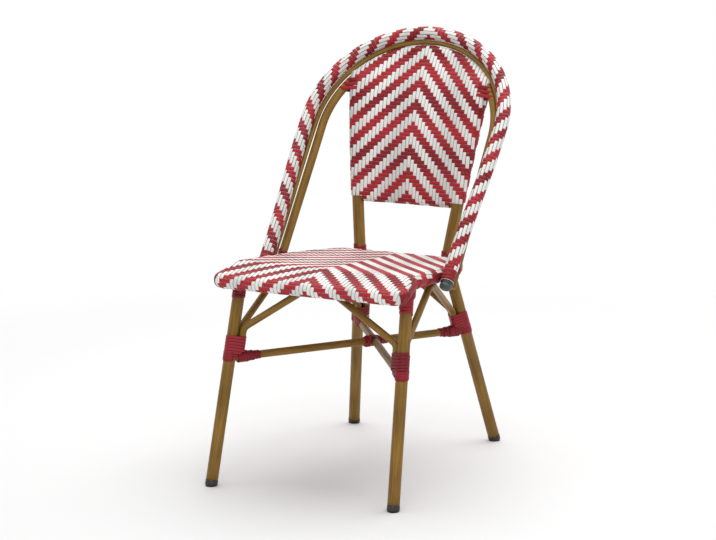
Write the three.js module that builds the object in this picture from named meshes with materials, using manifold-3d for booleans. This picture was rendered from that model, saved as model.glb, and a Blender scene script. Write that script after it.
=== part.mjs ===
// A rattan bistro chair: bent aluminium tubes, a woven seat and back, and a woven hoop.
// Millimetres, +Z up. The front faces -Y, and the origin lies on the floor below the middle.

import * as THREE from 'three';
import { mergeVertices } from 'three/addons/utils/BufferGeometryUtils.js';
import Module from 'manifold-3d';

const wasm = await Module();
wasm.setup();

// Tubes and clearances
const LEG_DIAMETER = 25;
const LEG_WALL = 1.5;
const RING_DIAMETER = 25;
const HOOP_CORE_DIAMETER = 24;
const HOOP_CORE_WALL = 1.5;
const INNER_HOOP_DIAMETER = 18;
const TRIM_ROD_DIAMETER = 9;
const BOW_DIAMETER = 14.5;
const STRETCHER_DIAMETER = 16;
const SEAT_BAR_DIAMETER = 16;
const BACK_RAIL_DIAMETER = 18;
const FIT_GAP = 0.3;
const WEAVE_THICKNESS = 2.4;

// Seat frame, seen from above and from the side
const SEAT_FRONT_HALF_WIDTH = 204;
const SEAT_CREST_HALF_WIDTH = 189;
const SEAT_SIDE_HALF_WIDTH = 175.5;
const SEAT_REAR_HALF_WIDTH = 140;
const SEAT_FRONT_REACH = 258;
const SEAT_CREST_SETBACK = 73;
const SEAT_SIDE_BEND = 35;
const SEAT_CREST_HEIGHT = 438;
const SEAT_FRONT_DROP = 16;
const SEAT_KNEE_DROP = 29.93;
const SEAT_FRONT_CORNER = 20;
const SEAT_CREST_BEND = 30;
const SEAT_SIDE_CORNER = 60;
const SEAT_REAR_CORNER = 34;
const SEAT_DISH = 2;
const FRONT_BAR_SETBACK = 48;
const MIDDLE_BAR_REACH = 0;

// Front legs
const FRONT_FOOT_SPREAD = 206.5;
const FRONT_FOOT_LEAD = 35;
const FRONT_TOP_SPREAD = 187;
const FRONT_TOP_SETBACK = 71;

// Rear legs, each running on upwards as a post of the back
const REAR_FOOT_SPREAD = 171.8;
const REAR_FOOT_REACH = 293.3;
const REAR_KNEE_SPREAD = 102.5;
const REAR_KNEE_REACH = 184.3;
const REAR_KNEE_DROP = 25;
const REAR_KNEE_TRIM = 14;
const POST_BEND_SHARE = 0.7756;
const POST_BEND_DEPTH = 18.22;
const POST_TOP_SPREAD = 152;

// Hoops, each a flat bent tube that leans back from its feet at the seat's sides
const INNER_HOOP_RADIUS = 199.5;
const INNER_HOOP_FOOT_REACH = 7.1;
const INNER_HOOP_TOP_SETBACK = 126.3;
const INNER_HOOP_TOP_RISE = 405;
const INNER_HOOP_END_DROP = 24.2;
const HOOP_SIDE_GAP = 1.8;
const HOOP_TOP_RISE = 36.5;
const HOOP_TOP_SETBACK = 10.7;
const OUTER_HOOP_FOOT_LEAD = 52.5;
const OUTER_HOOP_END_DROP = 5.6;
const TRIM_ROD_END_RISE = 1.4;
const HOOP_SETTLE_SHARE = 0.35;

// Woven back
const BACK_RAIL_RISE = 94;
const BACK_RAIL_BOW = 7;
const BACK_FOOT_ANGLE = 3;
const BACK_FACE_ANGLE = 20;
const POST_CAP_LENGTH = 25;

// Bows and stretchers
const BOW_END_HEIGHT = 274;
const FRONT_BOW_BEND_RISE = 46;
const REAR_BOW_BEND_RISE = 32;
const BOW_BEND_TRIM = 10;
const FRONT_CROSS_BOW_ANGLE = 18;
const FRONT_SIDE_BOW_ANGLE = 75;
const REAR_CROSS_BOW_ANGLE = 10;
const REAR_SIDE_BOW_ANGLE = 64;
const FRONT_BOW_FLAT_HALF = 20;
const SIDE_BOW_FRONT_REACH = 54;
const SIDE_BOW_REAR_REACH = 34;
const SIDE_BOW_INSET = 8;
const REAR_BOW_FLAT_HALF = 22;
const STRETCHER_DROP = 17;

// Flat-strand lashings
const STRAND_WIDTH = 5.6;
const STRAND_THICKNESS = 1.9;
const STRAND_PITCH = 6.2;
const FRONT_LASHING_TURNS = 4;
const REAR_LASHING_TURNS = 3;
const LEG_LASHING_RISE = 3.5;
const TOP_LASHING_TURNS = 3;
const TOP_LASHING_DROP = 58.8;
const STRETCHER_LASHING_TURNS = 5;
const STRETCHER_LASHING_START = 35.5;
const CROSSING_LASHING_TURNS = 2;
const CROSSING_LASHING_START = 18;
const POST_LASHING_TURNS = 1;
const POST_LASHING_RISE = 14;
const HOOP_LASHING_TURNS = 2;
const HOOP_LASHING_RISE = 15.8;

// Foot glides and hoop plugs
const GLIDE_SEAM_HEIGHT = 12.4;
const GLIDE_RIM_DIAMETER = 26;
const GLIDE_SOLE_DIAMETER = 22.5;
const GLIDE_STEM_LENGTH = 18;
const GLIDE_CHAMFER = 3.5;
const GLIDE_OVERRUN = 8;
const CUT_BLOCK = 60;
const PLUG_DIAMETER = 25;
const PLUG_COLLAR_THICKNESS = 7;
const PLUG_GROOVE_WIDTH = 2.5;
const PLUG_GROOVE_DEPTH = 2;
const PLUG_CAP_THICKNESS = 8;
const PLUG_DOME = 3;
const PLUG_SHOULDER_SHARE = 0.7;
const PLUG_STEM_LENGTH = 16;

// Facet counts
const LEG_SIDES = 12;
const RING_SIDES = 10;
const HOOP_SIDES = 10;
const THIN_SIDES = 8;
const ROUND_SIDES = 16;
const ARC_STEPS = 4;
const HOOP_ARC_STEPS = 16;
const HOOP_LEG_STEPS = 4;
const POST_STEPS = 7;
const BACK_RAIL_STEPS = 6;
const SKIN_ROLL_STEP_ANGLE = 30;
const SKIN_ROLL_START_ANGLE = 90;
const SKIN_ROLL_END_ANGLE = -120;
const TURN_STEPS = 10;
const TURN_LEAST_ANGLE = 8;
const TOUCH_SHARE = 0.01;
const LEVEL_RUN_SHARE = 0.5;
const SEAT_INSET_SHARES = [0.35, 0.68, 0.88];
const BACK_INSET_SHARES = [0.35, 0.65, 0.87];

// Sizes that follow from the ones above
const LEG_RADIUS = LEG_DIAMETER / 2;
const RING_RADIUS = RING_DIAMETER / 2;
const HOOP_CORE_RADIUS = HOOP_CORE_DIAMETER / 2;
const INNER_HOOP_TUBE_RADIUS = INNER_HOOP_DIAMETER / 2;
const TRIM_ROD_RADIUS = TRIM_ROD_DIAMETER / 2;
const BOW_RADIUS = BOW_DIAMETER / 2;
const STRETCHER_RADIUS = STRETCHER_DIAMETER / 2;
const SEAT_BAR_RADIUS = SEAT_BAR_DIAMETER / 2;
const BACK_RAIL_RADIUS = BACK_RAIL_DIAMETER / 2;
const SLEEVE_INNER_RADIUS = HOOP_CORE_RADIUS + FIT_GAP;
const SLEEVE_RADIUS = SLEEVE_INNER_RADIUS + WEAVE_THICKNESS;
const SEAT_ROLL_RADIUS = RING_RADIUS + FIT_GAP + WEAVE_THICKNESS;
const SEAT_CREST_REACH = SEAT_FRONT_REACH - SEAT_CREST_SETBACK;
const SEAT_FRONT_HEIGHT = SEAT_CREST_HEIGHT - SEAT_FRONT_DROP;
const SEAT_KNEE_HEIGHT = SEAT_CREST_HEIGHT - SEAT_KNEE_DROP;
const FRONT_BAR_REACH = SEAT_FRONT_REACH - FRONT_BAR_SETBACK;
const FRONT_TOP_REACH = SEAT_FRONT_REACH - FRONT_TOP_SETBACK;
const FRONT_FOOT_REACH = SEAT_FRONT_REACH + FRONT_FOOT_LEAD;
const STRETCHER_HEIGHT = BOW_END_HEIGHT - STRETCHER_DROP;
const REAR_KNEE_HEIGHT = SEAT_CREST_HEIGHT - REAR_KNEE_DROP;
const INNER_HOOP_TOP_REACH = REAR_KNEE_REACH + INNER_HOOP_TOP_SETBACK;
const INNER_HOOP_TOP_HEIGHT = SEAT_CREST_HEIGHT + INNER_HOOP_TOP_RISE;
const BACK_RAIL_HEIGHT = SEAT_CREST_HEIGHT + BACK_RAIL_RISE;

// Finishes
const FRAME_PAINT = { color: 0x85683a, roughness: 0.42, metalness: 0.25 };
const RED_STRAND = { color: 0xa82230, roughness: 0.5, metalness: 0 };
const PALE_STRAND = { color: 0xd9a6a4, roughness: 0.5, metalness: 0 };
const LASHING_STRAND = { color: 0x8e2030, roughness: 0.5, metalness: 0 };
const BLACK_PLASTIC = { color: 0x1e1c1a, roughness: 0.5, metalness: 0 };
const PLUG_PLASTIC = { color: 0x3c4a44, roughness: 0.45, metalness: 0 };

const UP = new THREE.Vector3(0, 0, 1);
const chair = new THREE.Group();

// Small helpers

function point(x, y, z) {
  return new THREE.Vector3(x, y, z);
}

function radians(degrees) {
  return THREE.MathUtils.degToRad(degrees);
}

function mirrored(p) {
  return point(-p.x, p.y, p.z);
}

function onSide(p, side) {
  return point(side * p.x, p.y, p.z);
}

function between(a, b, share) {
  return a.clone().lerp(b, share);
}

function alongToHeight(a, b, height) {
  return between(a, b, (height - a.z) / (b.z - a.z));
}

function addPiece(name, geometry, finish) {
  const mesh = new THREE.Mesh(geometry, new THREE.MeshStandardMaterial(finish));
  mesh.name = name;
  chair.add(mesh);
  return mesh;
}

function toSolid(geometry) {
  const bare = geometry.clone();
  bare.deleteAttribute('normal');
  bare.deleteAttribute('uv');
  const merged = mergeVertices(bare);
  const vertProperties = new Float32Array(merged.attributes.position.array);
  const triVerts = new Uint32Array(merged.index.array);
  return new wasm.Manifold(new wasm.Mesh({ numProp: 3, vertProperties, triVerts }));
}

function toGeometry(solid) {
  const mesh = solid.getMesh();
  const geometry = new THREE.BufferGeometry();
  geometry.setAttribute('position', new THREE.BufferAttribute(mesh.vertProperties, 3));
  geometry.setIndex(new THREE.BufferAttribute(mesh.triVerts, 1));
  geometry.computeVertexNormals();
  return geometry;
}

function cutAway(geometry, cutters) {
  let solid = toSolid(geometry);
  for (const cutter of cutters) {
    solid = solid.subtract(toSolid(cutter));
  }
  return toGeometry(solid);
}

// The largest body only: a cut through a tube can leave a short stub beyond the cut
function largestBody(geometry) {
  const bodies = toSolid(geometry).decompose();
  bodies.sort((a, b) => b.volume() - a.volume());
  return toGeometry(bodies[0]);
}

// Routes: a route is a list of points, and a curve through them puts one section on each point

class StationCurve extends THREE.Curve {
  constructor(stations) {
    super();
    this.stations = stations;
  }

  stationIndex(share) {
    return Math.round(share * (this.stations.length - 1));
  }

  getPointAt(share, target = new THREE.Vector3()) {
    return target.copy(this.stations[this.stationIndex(share)]);
  }

  getTangentAt(share, target = new THREE.Vector3()) {
    const index = this.stationIndex(share);
    const here = this.stations[index];
    const before = this.stations[Math.max(index - 1, 0)];
    const after = this.stations[Math.min(index + 1, this.stations.length - 1)];
    const incoming = here.clone().sub(before).normalize();
    const outgoing = after.clone().sub(here).normalize();
    return target.copy(incoming).add(outgoing).normalize();
  }
}

// Straight runs between corners, each inner corner replaced by a short curve
function roundedRoute(corners, trims, steps = ARC_STEPS) {
  const route = [corners[0].clone()];
  for (let i = 1; i < corners.length - 1; i += 1) {
    const corner = corners[i];
    const start = corner.clone().sub(corners[i - 1]).setLength(-trims[i - 1]).add(corner);
    const end = corners[i + 1].clone().sub(corner).setLength(trims[i - 1]).add(corner);
    const bend = new THREE.QuadraticBezierCurve3(start, corner, end);
    route.push(...bend.getPoints(steps));
  }
  route.push(corners[corners.length - 1].clone());
  return route;
}

// Radius of a polygon whose flats, not its corners, lie at the given radius
function outsideOf(radius, sides) {
  return radius / Math.cos(Math.PI / sides);
}

function circle(radius, sides) {
  const shape = new THREE.Shape();
  for (let i = 0; i < sides; i += 1) {
    const angle = (i / sides) * 2 * Math.PI;
    const move = i === 0 ? 'moveTo' : 'lineTo';
    shape[move](radius * Math.cos(angle), radius * Math.sin(angle));
  }
  shape.closePath();
  return shape;
}

function tube(route, radius, sides, bore = null) {
  const section = circle(radius, sides);
  if (bore) {
    section.holes.push(circle(bore.radius, bore.sides));
  }
  const settings = {
    steps: route.length - 1,
    bevelEnabled: false,
    extrudePath: new StationCurve(route),
  };
  return new THREE.ExtrudeGeometry(section, settings);
}

// A tube that everything touching it is cut by; its flat sides lie over the tube's own
function clearanceTube(route, radius, sides) {
  return tube(route, radius + FIT_GAP, sides);
}

// A closed strip of quads between two rings of vertex numbers
function joinRings(indices, ringA, ringB) {
  for (let i = 0; i < ringA.length; i += 1) {
    const next = (i + 1) % ringA.length;
    indices.push(ringA[i], ringB[i], ringB[next]);
    indices.push(ringA[i], ringB[next], ringA[next]);
  }
}

function geometryFrom(vertices, indices) {
  const geometry = new THREE.BufferGeometry();
  const positions = new Float32Array(vertices.length * 3);
  vertices.forEach((vertex, i) => vertex.toArray(positions, i * 3));
  geometry.setAttribute('position', new THREE.BufferAttribute(positions, 3));
  geometry.setIndex(indices);
  geometry.computeVertexNormals();
  return facingOut(geometry);
}

// Turns a closed mesh the right way out
function facingOut(geometry) {
  const place = geometry.attributes.position;
  const index = geometry.index.array;
  const corner = [point(0, 0, 0), point(0, 0, 0), point(0, 0, 0)];
  let volume = 0;
  for (let i = 0; i < index.length; i += 3) {
    corner.forEach((p, k) => p.fromBufferAttribute(place, index[i + k]));
    volume += corner[0].dot(corner[1].cross(corner[2]));
  }
  if (volume < 0) {
    for (let i = 0; i < index.length; i += 3) {
      [index[i], index[i + 1]] = [index[i + 1], index[i]];
    }
    geometry.computeVertexNormals();
  }
  return geometry;
}

// Frames round a closed loop of tubes: the face it shows, and the mitred way out of it.
// Each station says how far the skin stands off sideways (reach) and to the front (depth).
function loopFrames(stations, face) {
  const centre = stations.reduce((sum, s) => sum.add(s.here), point(0, 0, 0));
  centre.divideScalar(stations.length);
  return stations.map((station, i) => {
    const { here } = station;
    const before = stations[(i + stations.length - 1) % stations.length].here;
    const after = stations[(i + 1) % stations.length].here;
    const incoming = here.clone().sub(before).normalize();
    const outgoing = after.clone().sub(here).normalize();
    const halfTurn = incoming.angleTo(outgoing) / 2;
    const run = incoming.add(outgoing).normalize();
    const front = face.clone().addScaledVector(run, -face.dot(run)).normalize();
    const out = new THREE.Vector3().crossVectors(run, front);
    out.multiplyScalar(Math.sign(out.dot(here.clone().sub(centre))) / Math.cos(halfTurn));
    return { ...station, front, out };
  });
}

function aroundFrame(frame, reach, depth, angle) {
  const place = frame.here.clone().addScaledVector(frame.out, reach * Math.cos(angle));
  return place.addScaledVector(frame.front, depth * Math.sin(angle));
}

function closedTube(frames, radius, sides) {
  const vertices = [];
  const indices = [];
  const rings = frames.map((frame) => {
    const ring = [];
    for (let i = 0; i < sides; i += 1) {
      const angle = (i / sides) * 2 * Math.PI;
      ring.push(vertices.push(aroundFrame(frame, radius, radius, angle)) - 1);
    }
    return ring;
  });
  rings.forEach((ring, i) => joinRings(indices, ring, rings[(i + 1) % rings.length]));
  return geometryFrom(vertices, indices);
}

// A woven skin over a loop of tubes: stretched across the middle, and rolled round the tubes.
// The surface function gives the skin's outer face at a share of the way out from the middle.
function rolledSkin(frames, insetShares, surface) {
  const vertices = [];
  const indices = [];
  const innerGrowth = 1 / Math.cos(radians(SKIN_ROLL_STEP_ANGLE / 2));
  const layer = (frame, thickness) => {
    const places = insetShares.map((share) => {
      const edge = aroundFrame(frame, frame.reach, frame.depth, Math.PI / 2);
      return surface(edge, share).addScaledVector(frame.front, thickness - WEAVE_THICKNESS);
    });
    const growth = thickness > 0 ? 1 : innerGrowth;
    for (let angle = SKIN_ROLL_START_ANGLE; angle >= SKIN_ROLL_END_ANGLE; angle -= SKIN_ROLL_STEP_ANGLE) {
      const reach = (frame.reach - WEAVE_THICKNESS + thickness) * growth;
      const depth = (frame.depth - WEAVE_THICKNESS + thickness) * growth;
      places.push(aroundFrame(frame, reach, depth, radians(angle)));
    }
    return places;
  };
  const rings = frames.map((frame) => {
    const outline = [...layer(frame, WEAVE_THICKNESS), ...layer(frame, 0).reverse()];
    return outline.map((place) => vertices.push(place) - 1);
  });
  rings.forEach((ring, i) => {
    const next = rings[(i + 1) % rings.length];
    for (let k = 0; k < ring.length - 1; k += 1) {
      indices.push(ring[k], next[k], next[k + 1]);
      indices.push(ring[k], next[k + 1], ring[k + 1]);
    }
  });
  closeMiddle(vertices, indices, rings.map((ring) => ring.at(0)), false);
  closeMiddle(vertices, indices, rings.map((ring) => ring.at(-1)), true);
  return geometryFrom(vertices, indices);
}

function closeMiddle(vertices, indices, rim, flipped) {
  const centre = rim.reduce((sum, i) => sum.add(vertices[i]), point(0, 0, 0));
  const pole = vertices.push(centre.divideScalar(rim.length)) - 1;
  rim.forEach((vertex, i) => {
    const next = rim[(i + 1) % rim.length];
    indices.push(pole, flipped ? vertex : next, flipped ? next : vertex);
  });
}

// A body of revolution about the Y axis, then stood on a place and pointed along a direction
function turned(profile, sides, place, direction) {
  const lathe = new THREE.LatheGeometry(profile.map(([r, y]) => new THREE.Vector2(r, y)), sides);
  lathe.deleteAttribute('uv');
  lathe.deleteAttribute('normal');
  const merged = mergeVertices(lathe);
  const index = merged.index.array;
  const kept = [];
  for (let i = 0; i < index.length; i += 3) {
    const [a, b, c] = index.slice(i, i + 3);
    if (a !== b && b !== c && c !== a) {
      kept.push(a, b, c);
    }
  }
  merged.setIndex(kept);
  const turn = new THREE.Quaternion().setFromUnitVectors(point(0, 1, 0), direction);
  merged.applyQuaternion(turn);
  merged.translate(place.x, place.y, place.z);
  merged.computeVertexNormals();
  return facingOut(merged);
}

// Seat frame

function ringSlope(reach) {
  const crest = point(0, -SEAT_CREST_REACH, SEAT_CREST_HEIGHT);
  const rear = point(0, REAR_KNEE_REACH, SEAT_KNEE_HEIGHT);
  return between(crest, rear, (reach - crest.y) / (rear.y - crest.y)).z;
}

// Height of the seat frame's centre line: it falls gently to the knees and steeply to the front
function ringHeight(reach) {
  if (reach > -SEAT_CREST_REACH) {
    return ringSlope(reach);
  }
  const share = (-reach - SEAT_CREST_REACH) / (SEAT_FRONT_REACH - SEAT_CREST_REACH);
  return THREE.MathUtils.lerp(SEAT_CREST_HEIGHT, SEAT_FRONT_HEIGHT, share);
}

function railPoint(reach) {
  const front = point(SEAT_FRONT_HALF_WIDTH, -SEAT_FRONT_REACH, 0);
  const crest = point(SEAT_CREST_HALF_WIDTH, -SEAT_CREST_REACH, 0);
  const side = point(SEAT_SIDE_HALF_WIDTH, SEAT_SIDE_BEND, 0);
  const [a, b] = reach < crest.y ? [front, crest] : [crest, side];
  return between(a, b, (reach - a.y) / (b.y - a.y)).setZ(ringHeight(reach));
}

// The rear rail stands against the front of the rear legs, where their knees are rounded
function seatRearReach() {
  const down = rearFoot().sub(rearKnee()).normalize();
  const roundedBack = down.add(postRunAtFoot()).multiplyScalar(REAR_KNEE_TRIM / 4).y;
  return REAR_KNEE_REACH + roundedBack - LEG_RADIUS - FIT_GAP - RING_RADIUS;
}

function seatLoop() {
  const rear = seatRearReach();
  const half = [
    point(0, -SEAT_FRONT_REACH, SEAT_FRONT_HEIGHT),
    point(SEAT_FRONT_HALF_WIDTH, -SEAT_FRONT_REACH, SEAT_FRONT_HEIGHT),
    railPoint(-SEAT_CREST_REACH),
    railPoint(SEAT_SIDE_BEND),
    point(SEAT_REAR_HALF_WIDTH, rear, ringHeight(rear)),
    point(0, rear, ringHeight(rear)),
  ];
  const trims = [SEAT_FRONT_CORNER, SEAT_CREST_BEND, SEAT_SIDE_CORNER, SEAT_REAR_CORNER];
  const right = roundedRoute(half, trims);
  const left = right.slice(1, -1).map(mirrored).reverse();
  return [...right, ...left];
}

function seatSurface(edge, share) {
  const centre = point(0, (seatRearReach() - SEAT_FRONT_REACH) / 2, 0);
  const place = between(centre, edge, share);
  const dish = SEAT_DISH * (1 - share ** 2);
  const settled = ringHeight(place.y) + SEAT_ROLL_RADIUS - dish;
  const atEdge = ringHeight(edge.y) + SEAT_ROLL_RADIUS;
  return place.setZ(settled + (edge.z - atEdge) * share ** 3);
}

// Rear legs and posts

function rearFoot() {
  return point(REAR_FOOT_SPREAD, REAR_FOOT_REACH, 0);
}

function rearKnee() {
  return point(REAR_KNEE_SPREAD, REAR_KNEE_REACH, REAR_KNEE_HEIGHT);
}

function postTop() {
  const drop = INNER_HOOP_RADIUS * (1 - Math.sin(postTopAngle()));
  return hoopPoint(innerHoop, POST_TOP_SPREAD, drop);
}

function postTopAngle() {
  return Math.acos(POST_TOP_SPREAD / INNER_HOOP_RADIUS);
}

// Where the post's bend would come to a corner, in front of the straight way to its top
function postBend() {
  const bend = between(rearKnee(), postTop(), POST_BEND_SHARE);
  return bend.setY(bend.y - POST_BEND_DEPTH);
}

function postRunAtFoot() {
  return postBend().sub(rearKnee()).normalize();
}

// The post leans back steadily more towards its top
function postCurve() {
  return new THREE.QuadraticBezierCurve3(rearKnee(), postBend(), postTop());
}

function rearLegRoute() {
  const seam = alongToHeight(rearFoot(), rearKnee(), GLIDE_SEAM_HEIGHT);
  const post = postCurve().getPoints(POST_STEPS);
  const knee = roundedRoute([seam, rearKnee(), post[1]], [REAR_KNEE_TRIM]);
  return [...knee, ...post.slice(2)];
}

// Hoops: each is laid out flat, from its top down, and then leans back in its plane

const innerHoop = {
  radius: INNER_HOOP_RADIUS,
  footReach: INNER_HOOP_FOOT_REACH,
  topReach: INNER_HOOP_TOP_REACH,
  topHeight: INNER_HOOP_TOP_HEIGHT,
  endDrop: INNER_HOOP_END_DROP,
  outsideRadius: INNER_HOOP_TUBE_RADIUS,
};

const outerHoop = {
  radius: INNER_HOOP_RADIUS + INNER_HOOP_TUBE_RADIUS + HOOP_SIDE_GAP + SLEEVE_RADIUS,
  footReach: INNER_HOOP_FOOT_REACH - OUTER_HOOP_FOOT_LEAD,
  topReach: INNER_HOOP_TOP_REACH + HOOP_TOP_SETBACK,
  topHeight: INNER_HOOP_TOP_HEIGHT + HOOP_TOP_RISE,
  endDrop: OUTER_HOOP_END_DROP,
  outsideRadius: SLEEVE_RADIUS,
};

function hoopLean(hoop) {
  const rise = hoop.topHeight - ringHeight(hoop.footReach);
  return Math.atan2(hoop.topReach - hoop.footReach, rise);
}

function hoopPoint(hoop, spread, drop) {
  const lean = hoopLean(hoop);
  const reach = hoop.topReach - drop * Math.sin(lean);
  return point(spread, reach, hoop.topHeight - drop * Math.cos(lean));
}

function dropToHeight(hoop, height) {
  return (hoop.topHeight - height) / Math.cos(hoopLean(hoop));
}

// The hoop's leg stands against the outside of the seat's rolled side
function hoopFootSpread(hoop) {
  return railPoint(hoop.footReach).x + SEAT_ROLL_RADIUS + FIT_GAP + hoop.outsideRadius;
}

// Angles of the arch's stations; one of them is where a post meets the inner hoop
function archAngles() {
  const angles = [postTopAngle(), Math.PI - postTopAngle()];
  for (let i = 1; i < HOOP_ARC_STEPS; i += 1) {
    angles.push((i / HOOP_ARC_STEPS) * Math.PI);
  }
  return angles.sort((a, b) => a - b);
}

function hoopRoute(hoop) {
  const endDrop = dropToHeight(hoop, ringHeight(hoop.footReach) - hoop.endDrop);
  const foot = hoopFootSpread(hoop);
  const shoulder = hoop.radius;
  const settle = (endDrop - shoulder) * HOOP_SETTLE_SHARE;
  const leg = new THREE.CubicBezierCurve3(
    hoopPoint(hoop, foot, endDrop),
    hoopPoint(hoop, foot, endDrop - settle),
    hoopPoint(hoop, hoop.radius, shoulder + settle),
    hoopPoint(hoop, hoop.radius, shoulder),
  );
  const right = leg.getPoints(HOOP_LEG_STEPS);
  const left = right.map(mirrored).reverse();
  const arch = archAngles().map((angle) => {
    const drop = shoulder - hoop.radius * Math.sin(angle);
    return hoopPoint(hoop, hoop.radius * Math.cos(angle), drop);
  });
  return [...right, ...arch, ...left];
}

// The thin rod lies against the sleeve, on its side towards the inner hoop
function trimRodRoute() {
  const offset = SLEEVE_RADIUS + FIT_GAP + TRIM_ROD_RADIUS;
  const route = outerRoute.map((here, i) => {
    const before = outerRoute[Math.max(i - 1, 0)];
    const after = outerRoute[Math.min(i + 1, outerRoute.length - 1)];
    const run = after.clone().sub(before).normalize();
    const towards = innerRoute[i].clone().sub(here);
    towards.addScaledVector(run, -towards.dot(run)).setLength(offset);
    return towards.add(here);
  });
  const last = route.length - 1;
  const endHeight = ringHeight(outerHoop.footReach) + TRIM_ROD_END_RISE;
  route[0] = alongToHeight(route[0], route[1], endHeight);
  route[last] = alongToHeight(route[last], route[last - 1], endHeight);
  return route;
}

// Woven back: its loop runs along the lower rail, up a post, over the inner hoop and down again

function railCorner() {
  const above = rearRoute.findIndex((p) => p.z > BACK_RAIL_HEIGHT);
  return alongToHeight(rearRoute[above - 1], rearRoute[above], BACK_RAIL_HEIGHT);
}

function backRailRoute() {
  const corner = railCorner();
  const middle = point(0, corner.y + 2 * BACK_RAIL_BOW, corner.z);
  const bow = new THREE.QuadraticBezierCurve3(mirrored(corner), middle, corner);
  return bow.getPoints(BACK_RAIL_STEPS);
}

function backLoop() {
  const weave = FIT_GAP + WEAVE_THICKNESS;
  const onRail = { reach: BACK_RAIL_RADIUS + weave, depth: BACK_RAIL_RADIUS + weave };
  const onPost = { reach: LEG_RADIUS + weave, depth: LEG_RADIUS + weave };
  const onHoop = { reach: INNER_HOOP_TUBE_RADIUS + weave, depth: INNER_HOOP_TUBE_RADIUS + weave };
  const atTop = { reach: onHoop.reach, depth: onPost.depth };
  const above = rearRoute.findIndex((p) => p.z > BACK_RAIL_HEIGHT);
  const top = rearRoute.at(-1);
  const belowTop = top.clone().sub(rearRoute.at(-2));
  belowTop.setLength(belowTop.length() - POST_CAP_LENGTH).add(rearRoute.at(-2));
  const post = [...rearRoute.slice(above, -1), belowTop];
  const rail = backRailRoute();
  const arch = innerRoute.filter((p) => Math.abs(p.x) < POST_TOP_SPREAD - FIT_GAP && p.z > top.z);
  return [
    { here: rail.at(-1), ...onPost },
    ...post.map((here) => ({ here, ...onPost })),
    { here: top, ...atTop },
    ...arch.map((here) => ({ here, ...onHoop })),
    { here: mirrored(top), ...atTop },
    ...post.map((here) => ({ here: mirrored(here), ...onPost })).reverse(),
    { here: rail[0], ...onPost },
    ...rail.slice(1, -1).map((here) => ({ here, ...onRail })),
  ];
}

// The front of the weave at the chair's middle: upright at the rail, leaning back at the top
function backProfile(height) {
  const weave = FIT_GAP + WEAVE_THICKNESS;
  const bottom = backRailRoute()[BACK_RAIL_STEPS / 2];
  const low = bottom.y - BACK_RAIL_RADIUS - weave;
  const high = INNER_HOOP_TOP_REACH - INNER_HOOP_TUBE_RADIUS - weave;
  const rise = INNER_HOOP_TOP_HEIGHT - bottom.z;
  const climb = height - bottom.z;
  const start = Math.tan(radians(BACK_FOOT_ANGLE));
  return low + start * climb + (high - low - start * rise) * (climb / rise) ** 2;
}

function backSurface(edge, share) {
  const centre = point(0, 0, (BACK_RAIL_HEIGHT + INNER_HOOP_TOP_HEIGHT) / 2);
  const place = between(centre, edge, share);
  const hollow = (edge.y - backProfile(edge.z)) * share ** 2;
  return place.setY(backProfile(place.z) + hollow);
}

// Front legs

function frontFoot() {
  return point(FRONT_FOOT_SPREAD, -FRONT_FOOT_REACH, 0);
}

function frontTop() {
  return point(FRONT_TOP_SPREAD, -FRONT_TOP_REACH, ringHeight(-FRONT_TOP_REACH));
}

function frontLegRoute() {
  return [alongToHeight(frontFoot(), frontTop(), GLIDE_SEAM_HEIGHT), frontTop()];
}

// Corners of the chair, each with a leg, two bow ends and a stretcher end

const CORNERS = [
  { name: 'front_left', front: true, side: -1 },
  { name: 'front_right', front: true, side: 1 },
  { name: 'rear_left', front: false, side: -1 },
  { name: 'rear_right', front: false, side: 1 },
];

function cornerOf(front, side) {
  return CORNERS.find((corner) => corner.front === front && corner.side === side);
}

function legAt(corner, height) {
  const foot = corner.front ? frontFoot() : rearFoot();
  const top = corner.front ? frontTop() : rearKnee();
  return onSide(alongToHeight(foot, top, height), corner.side);
}

function legRun(corner) {
  return legAt(corner, BOW_END_HEIGHT).sub(legAt(corner, 0)).normalize();
}

// The way from a leg to a bow end beside it: straight inwards, turned towards the chair's middle
function awayFromLeg(corner, turn) {
  const run = legRun(corner);
  const depthwards = corner.front ? 1 : -1;
  const away = point(-corner.side * Math.cos(radians(turn)), depthwards * Math.sin(radians(turn)), 0);
  away.addScaledVector(run, -away.dot(run));
  return away.setLength(LEG_RADIUS + FIT_GAP + BOW_RADIUS);
}

function crossBowAway(corner) {
  return awayFromLeg(corner, corner.front ? FRONT_CROSS_BOW_ANGLE : REAR_CROSS_BOW_ANGLE);
}

function sideBowAway(corner) {
  return awayFromLeg(corner, corner.front ? FRONT_SIDE_BOW_ANGLE : REAR_SIDE_BOW_ANGLE);
}

// Bows: each stands beside two legs, rises aslant and runs level under the seat frame

function bowRoute(startCorner, startAway, top, endCorner, endAway) {
  const upright = (corner, away) => {
    const rise = corner.front ? FRONT_BOW_BEND_RISE : REAR_BOW_BEND_RISE;
    const heights = [BOW_END_HEIGHT, BOW_END_HEIGHT + rise];
    return heights.map((height) => legAt(corner, height).add(away));
  };
  const start = upright(startCorner, startAway);
  const end = upright(endCorner, endAway).reverse();
  const corners = [...start, ...top, ...end];
  return roundedRoute(corners, corners.slice(2).map(() => BOW_BEND_TRIM));
}

function crossBowRoute(front, reach, height, flatHalf) {
  const left = cornerOf(front, -1);
  const right = cornerOf(front, 1);
  const top = [point(-flatHalf, reach, height), point(flatHalf, reach, height)];
  return bowRoute(left, crossBowAway(left), top, right, crossBowAway(right));
}

function frontBowRoute() {
  const bar = seatBarRoute(-FRONT_BAR_REACH)[0];
  const height = bar.z - SEAT_BAR_RADIUS - FIT_GAP - BOW_RADIUS;
  return crossBowRoute(true, bar.y, height, FRONT_BOW_FLAT_HALF);
}

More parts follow.
